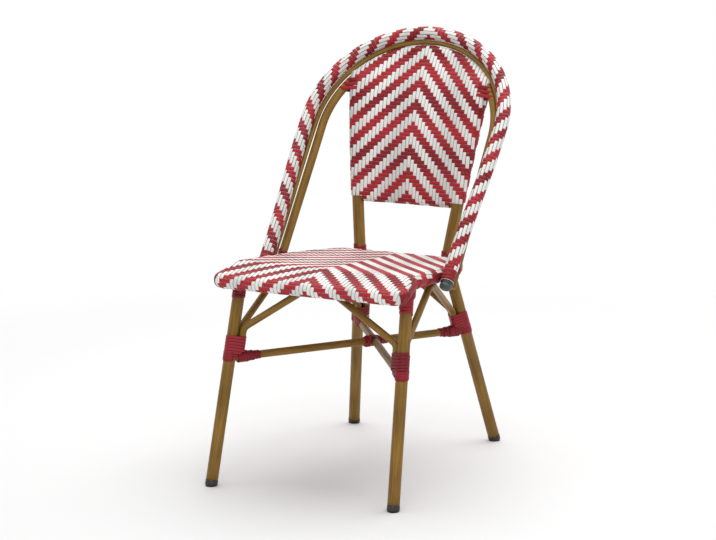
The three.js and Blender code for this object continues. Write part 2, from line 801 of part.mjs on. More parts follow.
function rearBowRoute() {
  const rear = seatRearReach();
  const height = ringHeight(rear) - SEAT_ROLL_RADIUS - FIT_GAP - BOW_RADIUS;
  return crossBowRoute(false, rear, height, REAR_BOW_FLAT_HALF);
}

function sideBowRoute(side) {
  const front = cornerOf(true, side);
  const rear = cornerOf(false, side);
  const away = SEAT_ROLL_RADIUS + FIT_GAP + BOW_RADIUS;
  const drop = Math.sqrt(away ** 2 - SIDE_BOW_INSET ** 2);
  const top = [-SIDE_BOW_FRONT_REACH, -SIDE_BOW_REAR_REACH].map((reach) => {
    const rail = railPoint(reach);
    return onSide(point(rail.x - SIDE_BOW_INSET, rail.y, rail.z - drop), side);
  });
  return bowRoute(front, sideBowAway(front), top, rear, sideBowAway(rear));
}

function seatBarRoute(reach) {
  return [mirrored(railPoint(reach)), railPoint(reach)];
}

// Lashings: one flat strand wound round a leg, a tube, or a leg and the bow ends beside it

// Directions in which a straight strand lies against two circles at once
function tangentAngles(circles) {
  const angles = [];
  for (const a of circles) {
    for (const b of circles) {
      if (a !== b) {
        const across = b.centre.clone().sub(a.centre);
        angles.push(across.angle() + Math.acos((a.radius - b.radius) / across.length()));
      }
    }
  }
  return angles.filter((angle) => {
    const normal = new THREE.Vector2(Math.cos(angle), Math.sin(angle));
    const heights = circles.map((c) => c.centre.dot(normal) + c.radius).sort((a, b) => b - a);
    return heights[0] - heights[1] < FIT_GAP * TOUCH_SHARE;
  });
}

function supportAngles(circles) {
  const fullTurn = 2 * Math.PI;
  const tangents = tangentAngles(circles).map((angle) => (angle + fullTurn) % fullTurn);
  const even = [];
  for (let i = 0; i < TURN_STEPS; i += 1) {
    const angle = (i / TURN_STEPS) * fullTurn;
    const apart = tangents.map((tangent) => {
      const difference = Math.abs(angle - tangent);
      return Math.min(difference, fullTurn - difference);
    });
    if (apart.every((difference) => difference > radians(TURN_LEAST_ANGLE))) {
      even.push(angle);
    }
  }
  return [...even, ...tangents].sort((a, b) => a - b);
}

// The polygon whose sides touch the circles' outline, at a distance from it
function hullOutline(circles, angles, distance) {
  const lines = angles.map((angle) => {
    const normal = new THREE.Vector2(Math.cos(angle), Math.sin(angle));
    const height = Math.max(...circles.map((c) => c.centre.dot(normal) + c.radius)) + distance;
    return { normal, height };
  });
  return lines.map((line, i) => {
    const next = lines[(i + 1) % lines.length];
    const cross = line.normal.cross(next.normal);
    const x = (line.height * next.normal.y - next.height * line.normal.y) / cross;
    const y = (next.height * line.normal.x - line.height * next.normal.x) / cross;
    return new THREE.Vector2(x, y);
  });
}

// Place and direction at a distance along a route
function placeAlong(route, distance) {
  let left = distance;
  for (let i = 0; i < route.length - 1; i += 1) {
    const step = route[i + 1].clone().sub(route[i]);
    const length = step.length();
    if (left <= length || i === route.length - 2) {
      const run = step.normalize();
      return { here: route[i].clone().addScaledVector(run, left), run };
    }
    left -= length;
  }
  return null;
}

function distanceToHeight(route, height) {
  let distance = 0;
  for (let i = 0; i < route.length - 1; i += 1) {
    const step = route[i + 1].clone().sub(route[i]);
    if (height <= route[i + 1].z) {
      return distance + (step.length() * (height - route[i].z)) / step.z;
    }
    distance += step.length();
  }
  return distance;
}

function planeAxes(run) {
  const first = point(1, 0, 0).addScaledVector(run, -run.x);
  if (first.length() < LEVEL_RUN_SHARE) {
    first.set(0, 1, 0).addScaledVector(run, -run.y);
  }
  first.normalize();
  return [first, new THREE.Vector3().crossVectors(run, first)];
}

// Sections of the strand: inner and outer edge, each at the strand's lower and upper side
function strandSections(route, start, turns, tubes) {
  const [first, second] = planeAxes(placeAlong(route, start).run);
  const circles = tubes.map(({ away, radius }) => ({
    centre: new THREE.Vector2(away.dot(first), away.dot(second)),
    radius,
  }));
  const angles = supportAngles(circles);
  const inner = hullOutline(circles, angles, FIT_GAP);
  const outer = hullOutline(circles, angles, FIT_GAP + STRAND_THICKNESS);
  const sections = [];
  for (let i = 0; i <= turns * angles.length; i += 1) {
    const rise = start + (STRAND_PITCH * i) / angles.length;
    const { here, run } = placeAlong(route, rise);
    const axes = planeAxes(run);
    const lay = (outline, shift) => {
      const spot = outline[i % angles.length];
      const place = here.clone().addScaledVector(run, shift);
      return place.addScaledVector(axes[0], spot.x).addScaledVector(axes[1], spot.y);
    };
    const half = STRAND_WIDTH / 2;
    sections.push([lay(inner, -half), lay(outer, -half), lay(outer, half), lay(inner, half)]);
  }
  return withStraightEnds(sections);
}

function withStraightEnds(sections) {
  const runOn = (near, next) => {
    const run = near[0].clone().sub(next[0]).setLength(STRAND_WIDTH);
    return near.map((corner) => corner.clone().add(run));
  };
  const start = runOn(sections[0], sections[1]);
  const end = runOn(sections.at(-1), sections.at(-2));
  return [start, ...sections, end];
}

function leastGap(sections, stepsPerTurn) {
  let least = Infinity;
  sections.forEach((section, i) => {
    for (const other of sections.slice(i + Math.floor(stepsPerTurn / 2))) {
      for (const a of section) {
        for (const b of other) {
          least = Math.min(least, a.distanceTo(b));
        }
      }
    }
  });
  return least;
}

function lashing(name, route, start, turns, tubes) {
  const sections = strandSections(route, start, turns, tubes);
  const vertices = sections.flat();
  const indices = [];
  const rings = sections.map((section, i) => section.map((_, k) => i * section.length + k));
  rings.slice(1).forEach((ring, i) => joinRings(indices, rings[i], ring));
  const cap = ([a, b, c, d]) => indices.push(a, b, c, a, c, d);
  cap(rings[0]);
  cap([...rings.at(-1)].reverse());
  addPiece(name, geometryFrom(vertices, indices), LASHING_STRAND);
  strandGaps.push(leastGap(sections, TURN_STEPS));
}

// Build the chair

const strandGaps = [];
const outerRoute = hoopRoute(outerHoop);
const innerRoute = hoopRoute(innerHoop);
const rearRoute = rearLegRoute();
const frontRoute = frontLegRoute();
const seatStation = { reach: SEAT_ROLL_RADIUS, depth: SEAT_ROLL_RADIUS };
const seatFrames = loopFrames(seatLoop().map((here) => ({ here, ...seatStation })), UP);
const ringGapRadius = outsideOf(RING_RADIUS + FIT_GAP, RING_SIDES);
const ringClearance = closedTube(seatFrames, ringGapRadius, RING_SIDES);
const innerHoopClearance = clearanceTube(innerRoute, INNER_HOOP_TUBE_RADIUS, HOOP_SIDES);

function onBothSides(build) {
  build('left', -1);
  build('right', 1);
}

function sided(route, side) {
  return route.map((p) => onSide(p, side));
}

function legClearance(route, side) {
  return clearanceTube(sided(route, side), LEG_RADIUS, LEG_SIDES);
}

function buildSeatFrame() {
  addPiece('seat_ring', closedTube(seatFrames, RING_RADIUS, RING_SIDES), FRAME_PAINT);
  const bars = { seat_front_bar: -FRONT_BAR_REACH, seat_middle_bar: MIDDLE_BAR_REACH };
  for (const [name, reach] of Object.entries(bars)) {
    const bar = tube(seatBarRoute(reach), SEAT_BAR_RADIUS, THIN_SIDES);
    addPiece(name, largestBody(cutAway(bar, [ringClearance])), FRAME_PAINT);
  }
}

function buildLegs() {
  const bore = { radius: LEG_RADIUS - LEG_WALL, sides: LEG_SIDES };
  onBothSides((word, side) => {
    const front = tube(sided(frontRoute, side), LEG_RADIUS, LEG_SIDES, bore);
    const coped = largestBody(cutAway(front, [ringClearance]));
    addPiece(`front_leg_${word}`, coped, FRAME_PAINT);
    const rear = tube(sided(rearRoute, side), LEG_RADIUS, LEG_SIDES, bore);
    const fitted = largestBody(cutAway(rear, [innerHoopClearance]));
    addPiece(`rear_leg_${word}`, fitted, FRAME_PAINT);
  });
}

function buildHoops() {
  const coreBore = { radius: HOOP_CORE_RADIUS - HOOP_CORE_WALL, sides: HOOP_SIDES };
  addPiece('outer_hoop', tube(outerRoute, HOOP_CORE_RADIUS, HOOP_SIDES, coreBore), FRAME_PAINT);
  const sleeveBore = { radius: SLEEVE_INNER_RADIUS, sides: HOOP_SIDES };
  addPiece('hoop_weave', tube(outerRoute, SLEEVE_RADIUS, HOOP_SIDES, sleeveBore), PALE_STRAND);
  addPiece('inner_hoop', tube(innerRoute, INNER_HOOP_TUBE_RADIUS, HOOP_SIDES), FRAME_PAINT);
  addPiece('trim_rod', tube(trimRodRoute(), TRIM_ROD_RADIUS, THIN_SIDES), FRAME_PAINT);
}

function buildBackRail() {
  const rail = tube(backRailRoute(), BACK_RAIL_RADIUS, THIN_SIDES);
  const legs = [legClearance(rearRoute, -1), legClearance(rearRoute, 1)];
  addPiece('back_rail', largestBody(cutAway(rail, legs)), FRAME_PAINT);
}

function buildSeatWeave() {
  const skin = rolledSkin(seatFrames, SEAT_INSET_SHARES, seatSurface);
  const legs = [-1, 1].flatMap((side) => [
    legClearance(frontRoute, side),
    legClearance(rearRoute, side),
  ]);
  addPiece('seat_weave', largestBody(cutAway(skin, legs)), RED_STRAND);
}

function buildBackWeave() {
  const frames = loopFrames(backLoop(), point(0, -1, Math.tan(radians(BACK_FACE_ANGLE))));
  const skin = rolledSkin(frames, BACK_INSET_SHARES, backSurface);
  const hoopLeg = innerRoute.filter((p) => p.x > 0 && p.z <= rearRoute.at(-1).z);
  const cutters = [-1, 1].flatMap((side) => [
    legClearance(rearRoute, side),
    clearanceTube(sided(hoopLeg, side), INNER_HOOP_TUBE_RADIUS, HOOP_SIDES),
  ]);
  addPiece('back_weave', largestBody(cutAway(skin, cutters)), RED_STRAND);
}

function buildBows() {
  const routes = {
    front_bow: frontBowRoute(),
    rear_bow: rearBowRoute(),
    left_bow: sideBowRoute(-1),
    right_bow: sideBowRoute(1),
  };
  for (const [name, route] of Object.entries(routes)) {
    addPiece(name, tube(route, BOW_RADIUS, THIN_SIDES), FRAME_PAINT);
  }
}

// One stretcher runs right across; the other is in two halves, coped to it where they cross
function buildStretchers() {
  const ends = Object.fromEntries(CORNERS.map((c) => [c.name, legAt(c, STRETCHER_HEIGHT)]));
  const through = [ends.front_left, ends.rear_right];
  const crossing = between(...through, ends.front_left.x / (ends.front_left.x - ends.rear_right.x));
  const routes = {
    stretcher_through: through,
    stretcher_front_half: [ends.front_right, crossing],
    stretcher_rear_half: [crossing, ends.rear_left],
  };
  const throughClearance = clearanceTube(through, STRETCHER_RADIUS, THIN_SIDES);
  const legs = [-1, 1].flatMap((side) => [
    legClearance(frontRoute, side),
    legClearance(rearRoute, side),
  ]);
  for (const [name, route] of Object.entries(routes)) {
    const rod = tube(route, STRETCHER_RADIUS, THIN_SIDES);
    const cutters = route === through ? legs : [...legs, throughClearance];
    addPiece(name, largestBody(cutAway(rod, cutters)), FRAME_PAINT);
  }
  return { crossing, ends };
}

function buildLegLashings() {
  const atLeg = { away: point(0, 0, 0), radius: LEG_RADIUS };
  for (const corner of CORNERS) {
    const route = sided(corner.front ? frontRoute : rearRoute, corner.side);
    const bows = [crossBowAway(corner), sideBowAway(corner)];
    const tubes = [atLeg, ...bows.map((away) => ({ away, radius: BOW_RADIUS }))];
    const start = distanceToHeight(route, BOW_END_HEIGHT + LEG_LASHING_RISE);
    const turns = corner.front ? FRONT_LASHING_TURNS : REAR_LASHING_TURNS;
    lashing(`leg_lashing_${corner.name}`, route, start, turns, tubes);
  }
  onBothSides((word, side) => {
    const leg = sided(frontRoute, side);
    const legTop = distanceToHeight(leg, frontTop().z - TOP_LASHING_DROP);
    lashing(`leg_top_lashing_${word}`, leg, legTop, TOP_LASHING_TURNS, [atLeg]);
    const post = sided(rearRoute, side);
    const postFoot = distanceToHeight(post, REAR_KNEE_HEIGHT + POST_LASHING_RISE);
    lashing(`post_lashing_${word}`, post, postFoot, POST_LASHING_TURNS, [atLeg]);
    const hoop = sided(innerRoute, side);
    const hoopFootHeight = ringHeight(INNER_HOOP_FOOT_REACH) + HOOP_LASHING_RISE;
    const hoopFoot = distanceToHeight(hoop, hoopFootHeight);
    const atHoop = { away: point(0, 0, 0), radius: INNER_HOOP_TUBE_RADIUS };
    lashing(`hoop_lashing_${word}`, hoop, hoopFoot, HOOP_LASHING_TURNS, [atHoop]);
  });
}

function buildStretcherLashings({ crossing, ends }) {
  const atStretcher = [{ away: point(0, 0, 0), radius: STRETCHER_RADIUS }];
  for (const [name, end] of Object.entries(ends)) {
    const route = [end, crossing];
    const start = STRETCHER_LASHING_START;
    lashing(`stretcher_lashing_${name}`, route, start, STRETCHER_LASHING_TURNS, atStretcher);
  }
  const sides = { front: [crossing, ends.front_left], rear: [crossing, ends.rear_right] };
  for (const [name, route] of Object.entries(sides)) {
    const start = CROSSING_LASHING_START;
    lashing(`crossing_lashing_${name}`, route, start, CROSSING_LASHING_TURNS, atStretcher);
  }
}

// Radius inside a round bore that has flat sides
function insideOf(radius, sides) {
  return radius * Math.cos(Math.PI / sides);
}

function buildGlides() {
  const stem = insideOf(LEG_RADIUS - LEG_WALL, LEG_SIDES) - FIT_GAP;
  const rim = GLIDE_RIM_DIAMETER / 2;
  const sole = GLIDE_SOLE_DIAMETER / 2;
  for (const corner of CORNERS) {
    const seam = legAt(corner, GLIDE_SEAM_HEIGHT);
    const foot = legAt(corner, 0);
    const length = seam.distanceTo(foot);
    const profile = [
      [0, -GLIDE_STEM_LENGTH],
      [stem, -GLIDE_STEM_LENGTH],
      [stem, FIT_GAP],
      [rim, FIT_GAP],
      [rim, length - GLIDE_CHAMFER],
      [sole, length],
      [sole, length + GLIDE_OVERRUN],
      [0, length + GLIDE_OVERRUN],
    ];
    const glide = turned(profile, ROUND_SIDES, seam, legRun(corner).negate());
    const floor = new THREE.BoxGeometry(CUT_BLOCK, CUT_BLOCK, CUT_BLOCK);
    floor.translate(foot.x, foot.y, -CUT_BLOCK / 2);
    addPiece(`foot_glide_${corner.name}`, cutAway(glide, [floor]), BLACK_PLASTIC);
  }
}

function buildPlugs() {
  const stem = insideOf(HOOP_CORE_RADIUS - HOOP_CORE_WALL, HOOP_SIDES) - FIT_GAP;
  const rim = PLUG_DIAMETER / 2;
  const groove = FIT_GAP + PLUG_COLLAR_THICKNESS;
  const cap = groove + PLUG_GROOVE_WIDTH;
  const end = cap + PLUG_CAP_THICKNESS;
  const profile = [
    [0, -PLUG_STEM_LENGTH],
    [stem, -PLUG_STEM_LENGTH],
    [stem, FIT_GAP],
    [rim, FIT_GAP],
    [rim, groove],
    [rim - PLUG_GROOVE_DEPTH, groove],
    [rim - PLUG_GROOVE_DEPTH, cap],
    [rim, cap],
    [rim, end],
    [rim * PLUG_SHOULDER_SHARE, end + PLUG_DOME * PLUG_SHOULDER_SHARE],
    [0, end + PLUG_DOME],
  ];
  onBothSides((word, side) => {
    const hoop = sided(outerRoute, side);
    const down = hoop[0].clone().sub(hoop[1]).normalize();
    addPiece(`hoop_plug_${word}`, turned(profile, ROUND_SIDES, hoop[0], down), PLUG_PLASTIC);
  });
}

// Stands the chair on the origin, in the middle of the space it takes
function centreOverOrigin() {
  const box = new THREE.Box3().setFromObject(chair);
  const middle = box.getCenter(point(0, 0, 0));
  for (const mesh of chair.children) {
    mesh.geometry.translate(-middle.x, -middle.y, 0);
  }
  console.log(`chair moved by ${(-middle.y).toFixed(2)} mm in depth`);
}

buildSeatFrame();
buildLegs();
buildHoops();
buildBackRail();
buildSeatWeave();
buildBackWeave();
buildBows();
buildLegLashings();
buildStretcherLashings(buildStretchers());
buildGlides();
buildPlugs();
centreOverOrigin();
console.log(`least gap of a lashing strand to itself ${Math.min(...strandGaps).toFixed(2)} mm`);

export default chair;
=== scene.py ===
# A rattan bistro chair: painted tubes, real woven strands on the seat, the back and the hoop,
# and wound lashings. Lengths are in millimetres and become metres as they are used.

import json
from itertools import repeat
from math import acos, atan2, ceil, copysign, cos, floor, pi, radians, sin, sqrt, tan, tau

import bmesh
import bpy
import numpy as np
from mathutils import Matrix, Vector


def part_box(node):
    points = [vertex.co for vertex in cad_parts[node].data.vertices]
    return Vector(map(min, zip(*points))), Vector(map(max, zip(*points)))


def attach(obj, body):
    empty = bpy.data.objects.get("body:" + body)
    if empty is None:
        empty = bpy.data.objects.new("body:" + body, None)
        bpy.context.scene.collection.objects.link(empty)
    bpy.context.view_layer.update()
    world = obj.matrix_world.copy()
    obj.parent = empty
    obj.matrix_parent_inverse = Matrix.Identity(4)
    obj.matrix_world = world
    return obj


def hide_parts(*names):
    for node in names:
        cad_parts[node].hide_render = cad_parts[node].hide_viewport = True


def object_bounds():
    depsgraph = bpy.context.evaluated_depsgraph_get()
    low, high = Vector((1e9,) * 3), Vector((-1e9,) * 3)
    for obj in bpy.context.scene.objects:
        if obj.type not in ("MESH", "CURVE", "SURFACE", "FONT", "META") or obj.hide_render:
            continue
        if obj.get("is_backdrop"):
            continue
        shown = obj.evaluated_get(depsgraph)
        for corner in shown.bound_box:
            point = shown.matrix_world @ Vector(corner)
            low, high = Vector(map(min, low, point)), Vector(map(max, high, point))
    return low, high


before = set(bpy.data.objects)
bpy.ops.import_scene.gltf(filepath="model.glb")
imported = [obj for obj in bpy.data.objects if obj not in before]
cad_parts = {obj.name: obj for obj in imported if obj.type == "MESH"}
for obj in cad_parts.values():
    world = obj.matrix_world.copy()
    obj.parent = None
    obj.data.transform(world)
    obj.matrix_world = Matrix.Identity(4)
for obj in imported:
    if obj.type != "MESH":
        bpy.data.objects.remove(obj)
cad_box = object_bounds()
MM = 0.001

# Directions and places
X_AXIS = Vector((1, 0, 0))
Y_AXIS = Vector((0, 1, 0))
Z_AXIS = Vector((0, 0, 1))
HOOP_FRONT = Vector((0, -1, 0.8))
DEPTH_SHIFT = -15.35
SIDES = {"left": -1, "right": 1}
FRONT = True
REAR = False
CORNERS = {
    "front_left": (FRONT, -1),
    "front_right": (FRONT, 1),
    "rear_left": (REAR, -1),
    "rear_right": (REAR, 1),
}

# Tubes and clearances
LEG_RADIUS = 12.5
RING_RADIUS = 12.5
HOOP_CORE_RADIUS = 12
INNER_HOOP_TUBE_RADIUS = 9
TRIM_ROD_RADIUS = 5.3
BOW_RADIUS = 7.25
STRETCHER_RADIUS = 8
SEAT_BAR_RADIUS = 8
BACK_RAIL_RADIUS = 9
FIT_GAP = 0.3
WEAVE_THICKNESS = 2.4
WEAVE_LAYER = FIT_GAP + WEAVE_THICKNESS / 2
SLEEVE_RADIUS = HOOP_CORE_RADIUS + FIT_GAP + WEAVE_THICKNESS
SLEEVE_LAYER_RADIUS = HOOP_CORE_RADIUS + WEAVE_LAYER
SEAT_ROLL_RADIUS = RING_RADIUS + FIT_GAP + WEAVE_THICKNESS
RING_LAYER_RADIUS = RING_RADIUS + WEAVE_LAYER
POST_LAYER_RADIUS = LEG_RADIUS + WEAVE_LAYER
RAIL_LAYER_RADIUS = BACK_RAIL_RADIUS + WEAVE_LAYER
ARCH_LAYER_RADIUS = INNER_HOOP_TUBE_RADIUS + WEAVE_LAYER
WELD_DISTANCE = 0.01

# Steps along and round the pieces
THICK_TUBE_SIDES = 32
THIN_TUBE_SIDES = 24
SLIM_TUBE_SIDES = 20
BEND_STEPS = 8
POST_STEPS = 28
POST_KNEE_STEP = 2
HOOP_LEG_STEPS = 24
HOOP_ARCH_STEPS = 64
BACK_ARCH_STEPS = 39
BACK_ARCH_TURN = 0.01
LEG_STEPS = 12
BAR_STEPS = 8
RAIL_STEPS = 16
STRETCHER_STEPS = 10
TURN_STEPS = 24

# Seat frame
SEAT_FRONT_HALF_WIDTH = 204
SEAT_CREST_HALF_WIDTH = 189
SEAT_SIDE_HALF_WIDTH = 175.5
SEAT_REAR_HALF_WIDTH = 140
SEAT_FRONT_REACH = 258
SEAT_CREST_REACH = 185
SEAT_SIDE_BEND = 35
SEAT_FRONT_HEIGHT = 422
SEAT_CREST_HEIGHT = 438
SEAT_KNEE_HEIGHT = 408.07
SEAT_TRIMS = [20, 30, 60, 34]
SEAT_DISH = 2
CREST_EASING = 26
FRONT_BAR_REACH = 210

# Legs and posts
FRONT_FOOT = Vector((206.5, -293, 0))
FRONT_TOP_SPREAD = 187
FRONT_TOP_REACH = 187
REAR_FOOT = Vector((171.8, 293.3, 0))
REAR_KNEE = Vector((102.5, 184.3, 413))
REAR_KNEE_TRIM = 14
POST_BEND_SHARE = 0.7756
POST_BEND_DEPTH = 18.22
POST_TOP_SPREAD = 152
GLIDE_SEAM_HEIGHT = 12.4

# Hoops
INNER_HOOP_RADIUS = 199.5
OUTER_HOOP_RADIUS = 225
INNER_HOOP_FOOT_REACH = 7.1
OUTER_HOOP_FOOT_REACH = -45.4
INNER_HOOP_TOP = Vector((0, 310.6, 843))
OUTER_HOOP_TOP = Vector((0, 321.3, 879.5))
INNER_HOOP_END_DROP = 24.2
OUTER_HOOP_END_DROP = 5.6
TRIM_ROD_END_RISE = 1.4
HOOP_SETTLE_SHARE = 0.35

# Woven back
BACK_RAIL_HEIGHT = 532
BACK_RAIL_BOW = 7
BACK_RAIL_SHARES = (-1, -0.5, 0, 0.5, 1)
BACK_FOOT_ANGLE = 3
BACK_FACE_ANGLE = 20
BACK_LEAST_SPREAD = 30
PROFILE_HEIGHTS = np.arange(480, 920, 1.0)
EDGE_EASING = 14
CORNER_WEFTS = 3
CORNER_WEFT_DROP = 12

# Bows and stretchers
BOW_END_HEIGHT = 274
BOW_BEND_RISES = {FRONT: 46, REAR: 32}
BOW_BEND_TRIM = 10
BOW_ANGLES = {"cross": {FRONT: 18, REAR: 10}, "side": {FRONT: 75, REAR: 64}}
FRONT_BOW_FLAT_HALF = 20
REAR_BOW_FLAT_HALF = 22
SIDE_BOW_REACHES = [54, 34]
SIDE_BOW_INSET = 8
STRETCHER_HEIGHT = 257
LEG_HOLD_SHARE = 0.6
CROSSING_HOLD_SHARE = 0.4

# Strands of the weave; a strand's section is given in shares of its half width and thickness
STRAND_SECTION_SHARES = [(1, 0), (0.72, 0.82), (0, 1), (-0.72, 0.82)]
STRAND_SECTION_SHARES += [(-x, -y) for x, y in STRAND_SECTION_SHARES]
BACK_WARP_PITCH = 8.1
BACK_WEFT_PITCH = 8.25
BACK_TIP_HEIGHT = 549.5
SEAT_WARP_PITCH = 8.3
SEAT_WEFT_PITCH = 8.92
SEAT_TIP_REACH = -285
TIP_WEFT = 2
SLEEVE_STRANDS = 12
SLEEVE_TOP_WRAPS = 15
SLEEVE_TOP_PITCHES = {"left": 8.1, "right": 8.9}
SLEEVE_PITCHES = {"left": 8.88, "right": 8.45}
SLEEVE_END_WRAPS = 3
SLEEVE_END_OVERRUN = 3
FLOAT = 3
STRAND_THICKNESS = 1.1
STRAND_FILL_SHARE = 0.95
STRAND_LIFT = 0.62
CROSSING_SHARE = 0.29
SHADE_STRIDE = 12.9898

# How far strands roll round the tubes, in radians: less in the fan past a post's top, and below
# the back's rail, beside a post, they stop a radius inside the edge
SHEET_STEP = 0.6
LEAST_GAP_SHARE = 0.001
ROLL_REACH = 60
WRAP_LIMIT = radians(215)
SIDE_WARP_LIMIT = radians(68)
SIDEWAYS_SHARE = 0.8
POST_FOOT_LIMIT = -1
CORNER_LIMIT = radians(100)
CORNER_FAN = 1.4
LEG_CUT_START = 0.5
LEG_CUT_GAP = 1.6

# Lashings; a layer of turns is (near, far) from where the tubes meet
LASHING_WIDTH = 6.3
LASHING_THICKNESS = 1.5
LASHING_PITCH = 6.2
LEG_LASHING_TOP = 303
LEG_LASHING_BOTTOM = 253.5
BOW_BINDING_END = 258
REAR_LASHING_STEP = 6
STRETCHER_LASHING_LAYERS = ((20, 66), (18, 54), (17, 41))
CROSSING_FRONT_LAYERS = ((5, 26), (7, 24), (10, 20))
CROSSING_REAR_LAYERS = ((18, 30),)
CROSSING_STEPS = 20
POST_LASHING_HEIGHT = 418.5
HOOP_LASHING_RISE = 4
FOOT_LASHING_TURNS = 2

# Slanting turns that catch the stretcher: the way they pass it, their rise on the leg, how far
# along the stretcher the first one lies, the step to the next, and their layer on the leg
SADDLES = 3
SADDLE_TURNS = ((-1, 0, 19, 5.5, 0.25), (1, 3, 17, 5, 0.3))
SADDLE_DROP = 2
SADDLE_PITCH_SHARE = 0.8
SADDLE_LEG_ANGLE = radians(95)
SADDLE_LEG_STEPS = 7
SADDLE_STRETCHER_STEPS = 8

# Lashings of the front corners; angles in degrees
CORNER_SLANT = 14
CORNER_LEAST_SPREAD = 150
CORNER_REACHES = (SEAT_FRONT_REACH - 6, FRONT_TOP_REACH - 4)
CORNER_ROLL_START = 52
CORNER_ROLL = 130
TOP_LASHING_DROP = 58.8
TOP_LASHING_GAP = 4
TOP_STRANDS = 3
TOP_STRAND_START = -30
TOP_STRAND_TURN = 170
TOP_STRAND_DROP = 8
TOP_STRAND_SLANT = 26
TOP_STRAND_FLARE = 2
SLANT_STEPS = 12

# Tacks; each one's way from the leg, the side it is on and the layers under it
TACK_RADIUS = 2.2
TACK_RISE = 1.3
TACK_SEGMENTS = 12
TACK_RINGS = 8
TACK_SPOTS = ((34, -1, 2), (34, 1, 2), (58, -1, 1))
BOW_TACK_DROP = 3

# Glides and plugs; a glide's rim edge is (inset, way), a plug's dome (radius share, rise share)
SPIN_STEPS = 40
GLIDE_RIM_RADIUS = 13
GLIDE_RIM_EDGE = ((1, 0), (0.3, 0.25), (0, 1))
GLIDE_SOLE_RADIUS = 11.25
GLIDE_ROUNDING = 3.5
GLIDE_ROUNDING_STEPS = 4
GLIDE_OVERRUN = 8
PLUG_RADIUS = 12.5
PLUG_COLLAR = 7
PLUG_CHAMFER = 0.6
PLUG_GROOVE_WIDTH = 2.5
PLUG_GROOVE_DEPTH = 2
PLUG_CAP = 8
PLUG_CAP_ROUNDING = 1.2
PLUG_CAP_INSET = 1
PLUG_DOME = 3
PLUG_DOME_SHARES = ((0.7, 0.7), (0.35, 0.95), (0, 1))
# Two black rings on each plug are painted shade: one fills the groove, one stands out near the plug's top
# where the sleeve's end shades it
PLUG_GROOVE_SHADE_RADIUS = 12.2
PLUG_GROOVE_SHADE_OVERLAP = 0.5
PLUG_RIM_SHADE_START = 3.3
PLUG_RIM_SHADE_WIDTH = 1.5
PLUG_RIM_SHADE_RADIUS = 13.1

# Patterns of the finishes, in grains per metre along and round a piece: ribs 0.7 mm apart on a
# strand, brush streaks 2.4 mm apart on a tube and clouds of glaze 17 mm wide
RIBS_PER_METRE = (30, 1400)
STREAKS_PER_METRE = (5, 420)
CLOUDS_PER_METRE = (14, 60)
TINT_SHARE = 0.45
CLOUD_SHARE = 0.4
PLASTIC_IOR = 1.5

# Stage, in metres, watts and degrees
CAMERA_PLACE = Vector((2.2593, -4.59745, 1.4297))
CAMERA_AZIMUTH = 26.411
CAMERA_PITCH = 11.224
CAMERA_RANGE = 50
FOCAL_PIXELS = 2503.18
IMAGE_WIDTH = 716
SENSOR_WIDTH = 36
FLOOR_HALF_SIZE = 14
FLOOR_NEAR = 0.95
FLOOR_FAR = 2.0
WORLD_STRENGTH = 0.55
FLOOR_WHITE = "#F3F3F3"
LAMP_AIM = Vector((0, 0, 0.4))

# Softboxes: place, width and power
LAMPS = {
    "overhead_softbox": ((0.0, 0.65, 2.6), 2.9, 58),
    "front_softbox": ((1.2, -3.3, 2.5), 2.4, 29),
}

# Routes


def placed(point):
    """A point in metres, from its place in millimetres over the middle of the feet"""
    return Vector((point.x * MM, (point.y + DEPTH_SHIFT) * MM, point.z * MM))


def on_side(point, side):
    return Vector((side * point.x, point.y, point.z))


def sided(route, side):
    return [on_side(p, side) for p in route]


def square_to(run, vector):
    """The direction of a vector's part that stands square to a run"""
    return (vector - run * vector.dot(run)).normalized()


def swung(start, side, angle):
    """A direction turned from start towards side"""
    return start * cos(angle) + side * sin(angle)


def straight(a, b, steps):
    return [a.lerp(b, i / steps) for i in range(steps + 1)]


def along_to_height(a, b, height):
    return a.lerp(b, (height - a.z) / (b.z - a.z))


def at_height(route, height):
    """The first point of a route at a height"""
    for a, b in zip(route, route[1:]):
        if (a.z - height) * (b.z - height) <= 0 and a.z != b.z:
            return along_to_height(a, b, height)


def bezier(points, steps):
    """Points of a Bezier curve of any degree"""
    route = []
    for i in range(steps + 1):
        level = list(points)
        while len(level) > 1:
            level = [a.lerp(b, i / steps) for a, b in zip(level, level[1:])]
        route.append(level[0])
    return route


def rounded_route(corners, trims):
    """Straight runs between corners, each inner corner replaced by a short curve"""
    route = [corners[0]]
    for i, trim in enumerate(trims):
        before, corner, after = corners[i : i + 3]
        start = corner + (before - corner).normalized() * trim
        end = corner + (after - corner).normalized() * trim
        route += bezier([start, corner, end], BEND_STEPS)
    return route + [corners[-1]]


def run_at(route, i, closed=False):
    """Direction of a route at one of its points"""
    before, after = i - 1, (i + 1) % len(route)
    if not closed:
        before, after = max(i - 1, 0), min(i + 1, len(route) - 1)
    return (route[after] - route[before]).normalized()


def ways_along(route):
    """How far along a route each of its points lies"""
    ways = [0]
    for a, b in zip(route, route[1:]):
        ways.append(ways[-1] + (b - a).length)
    return np.array(ways)


def frames_along(route, ups, closed=False):
    """At each point of a route: the point, its run, a side and a lift direction"""
    frames = []
    for i, (here, up) in enumerate(zip(route, ups)):
        run = run_at(route, i, closed)
        lift = square_to(run, up)
        frames.append((here, run, run.cross(lift), lift))
    return frames + frames[:1] if closed else frames


def frame_at(ways, frames, way):
    """The frame at a way along a route, between those of its points"""
    way = min(max(way, 0), ways[-1])
    i = min(int(np.searchsorted(ways, way, side="right")) - 1, len(frames) - 2)
    share = (way - ways[i]) / (ways[i + 1] - ways[i])
    return [a.lerp(b, share) for a, b in zip(frames[i], frames[i + 1])]


# Seat frame


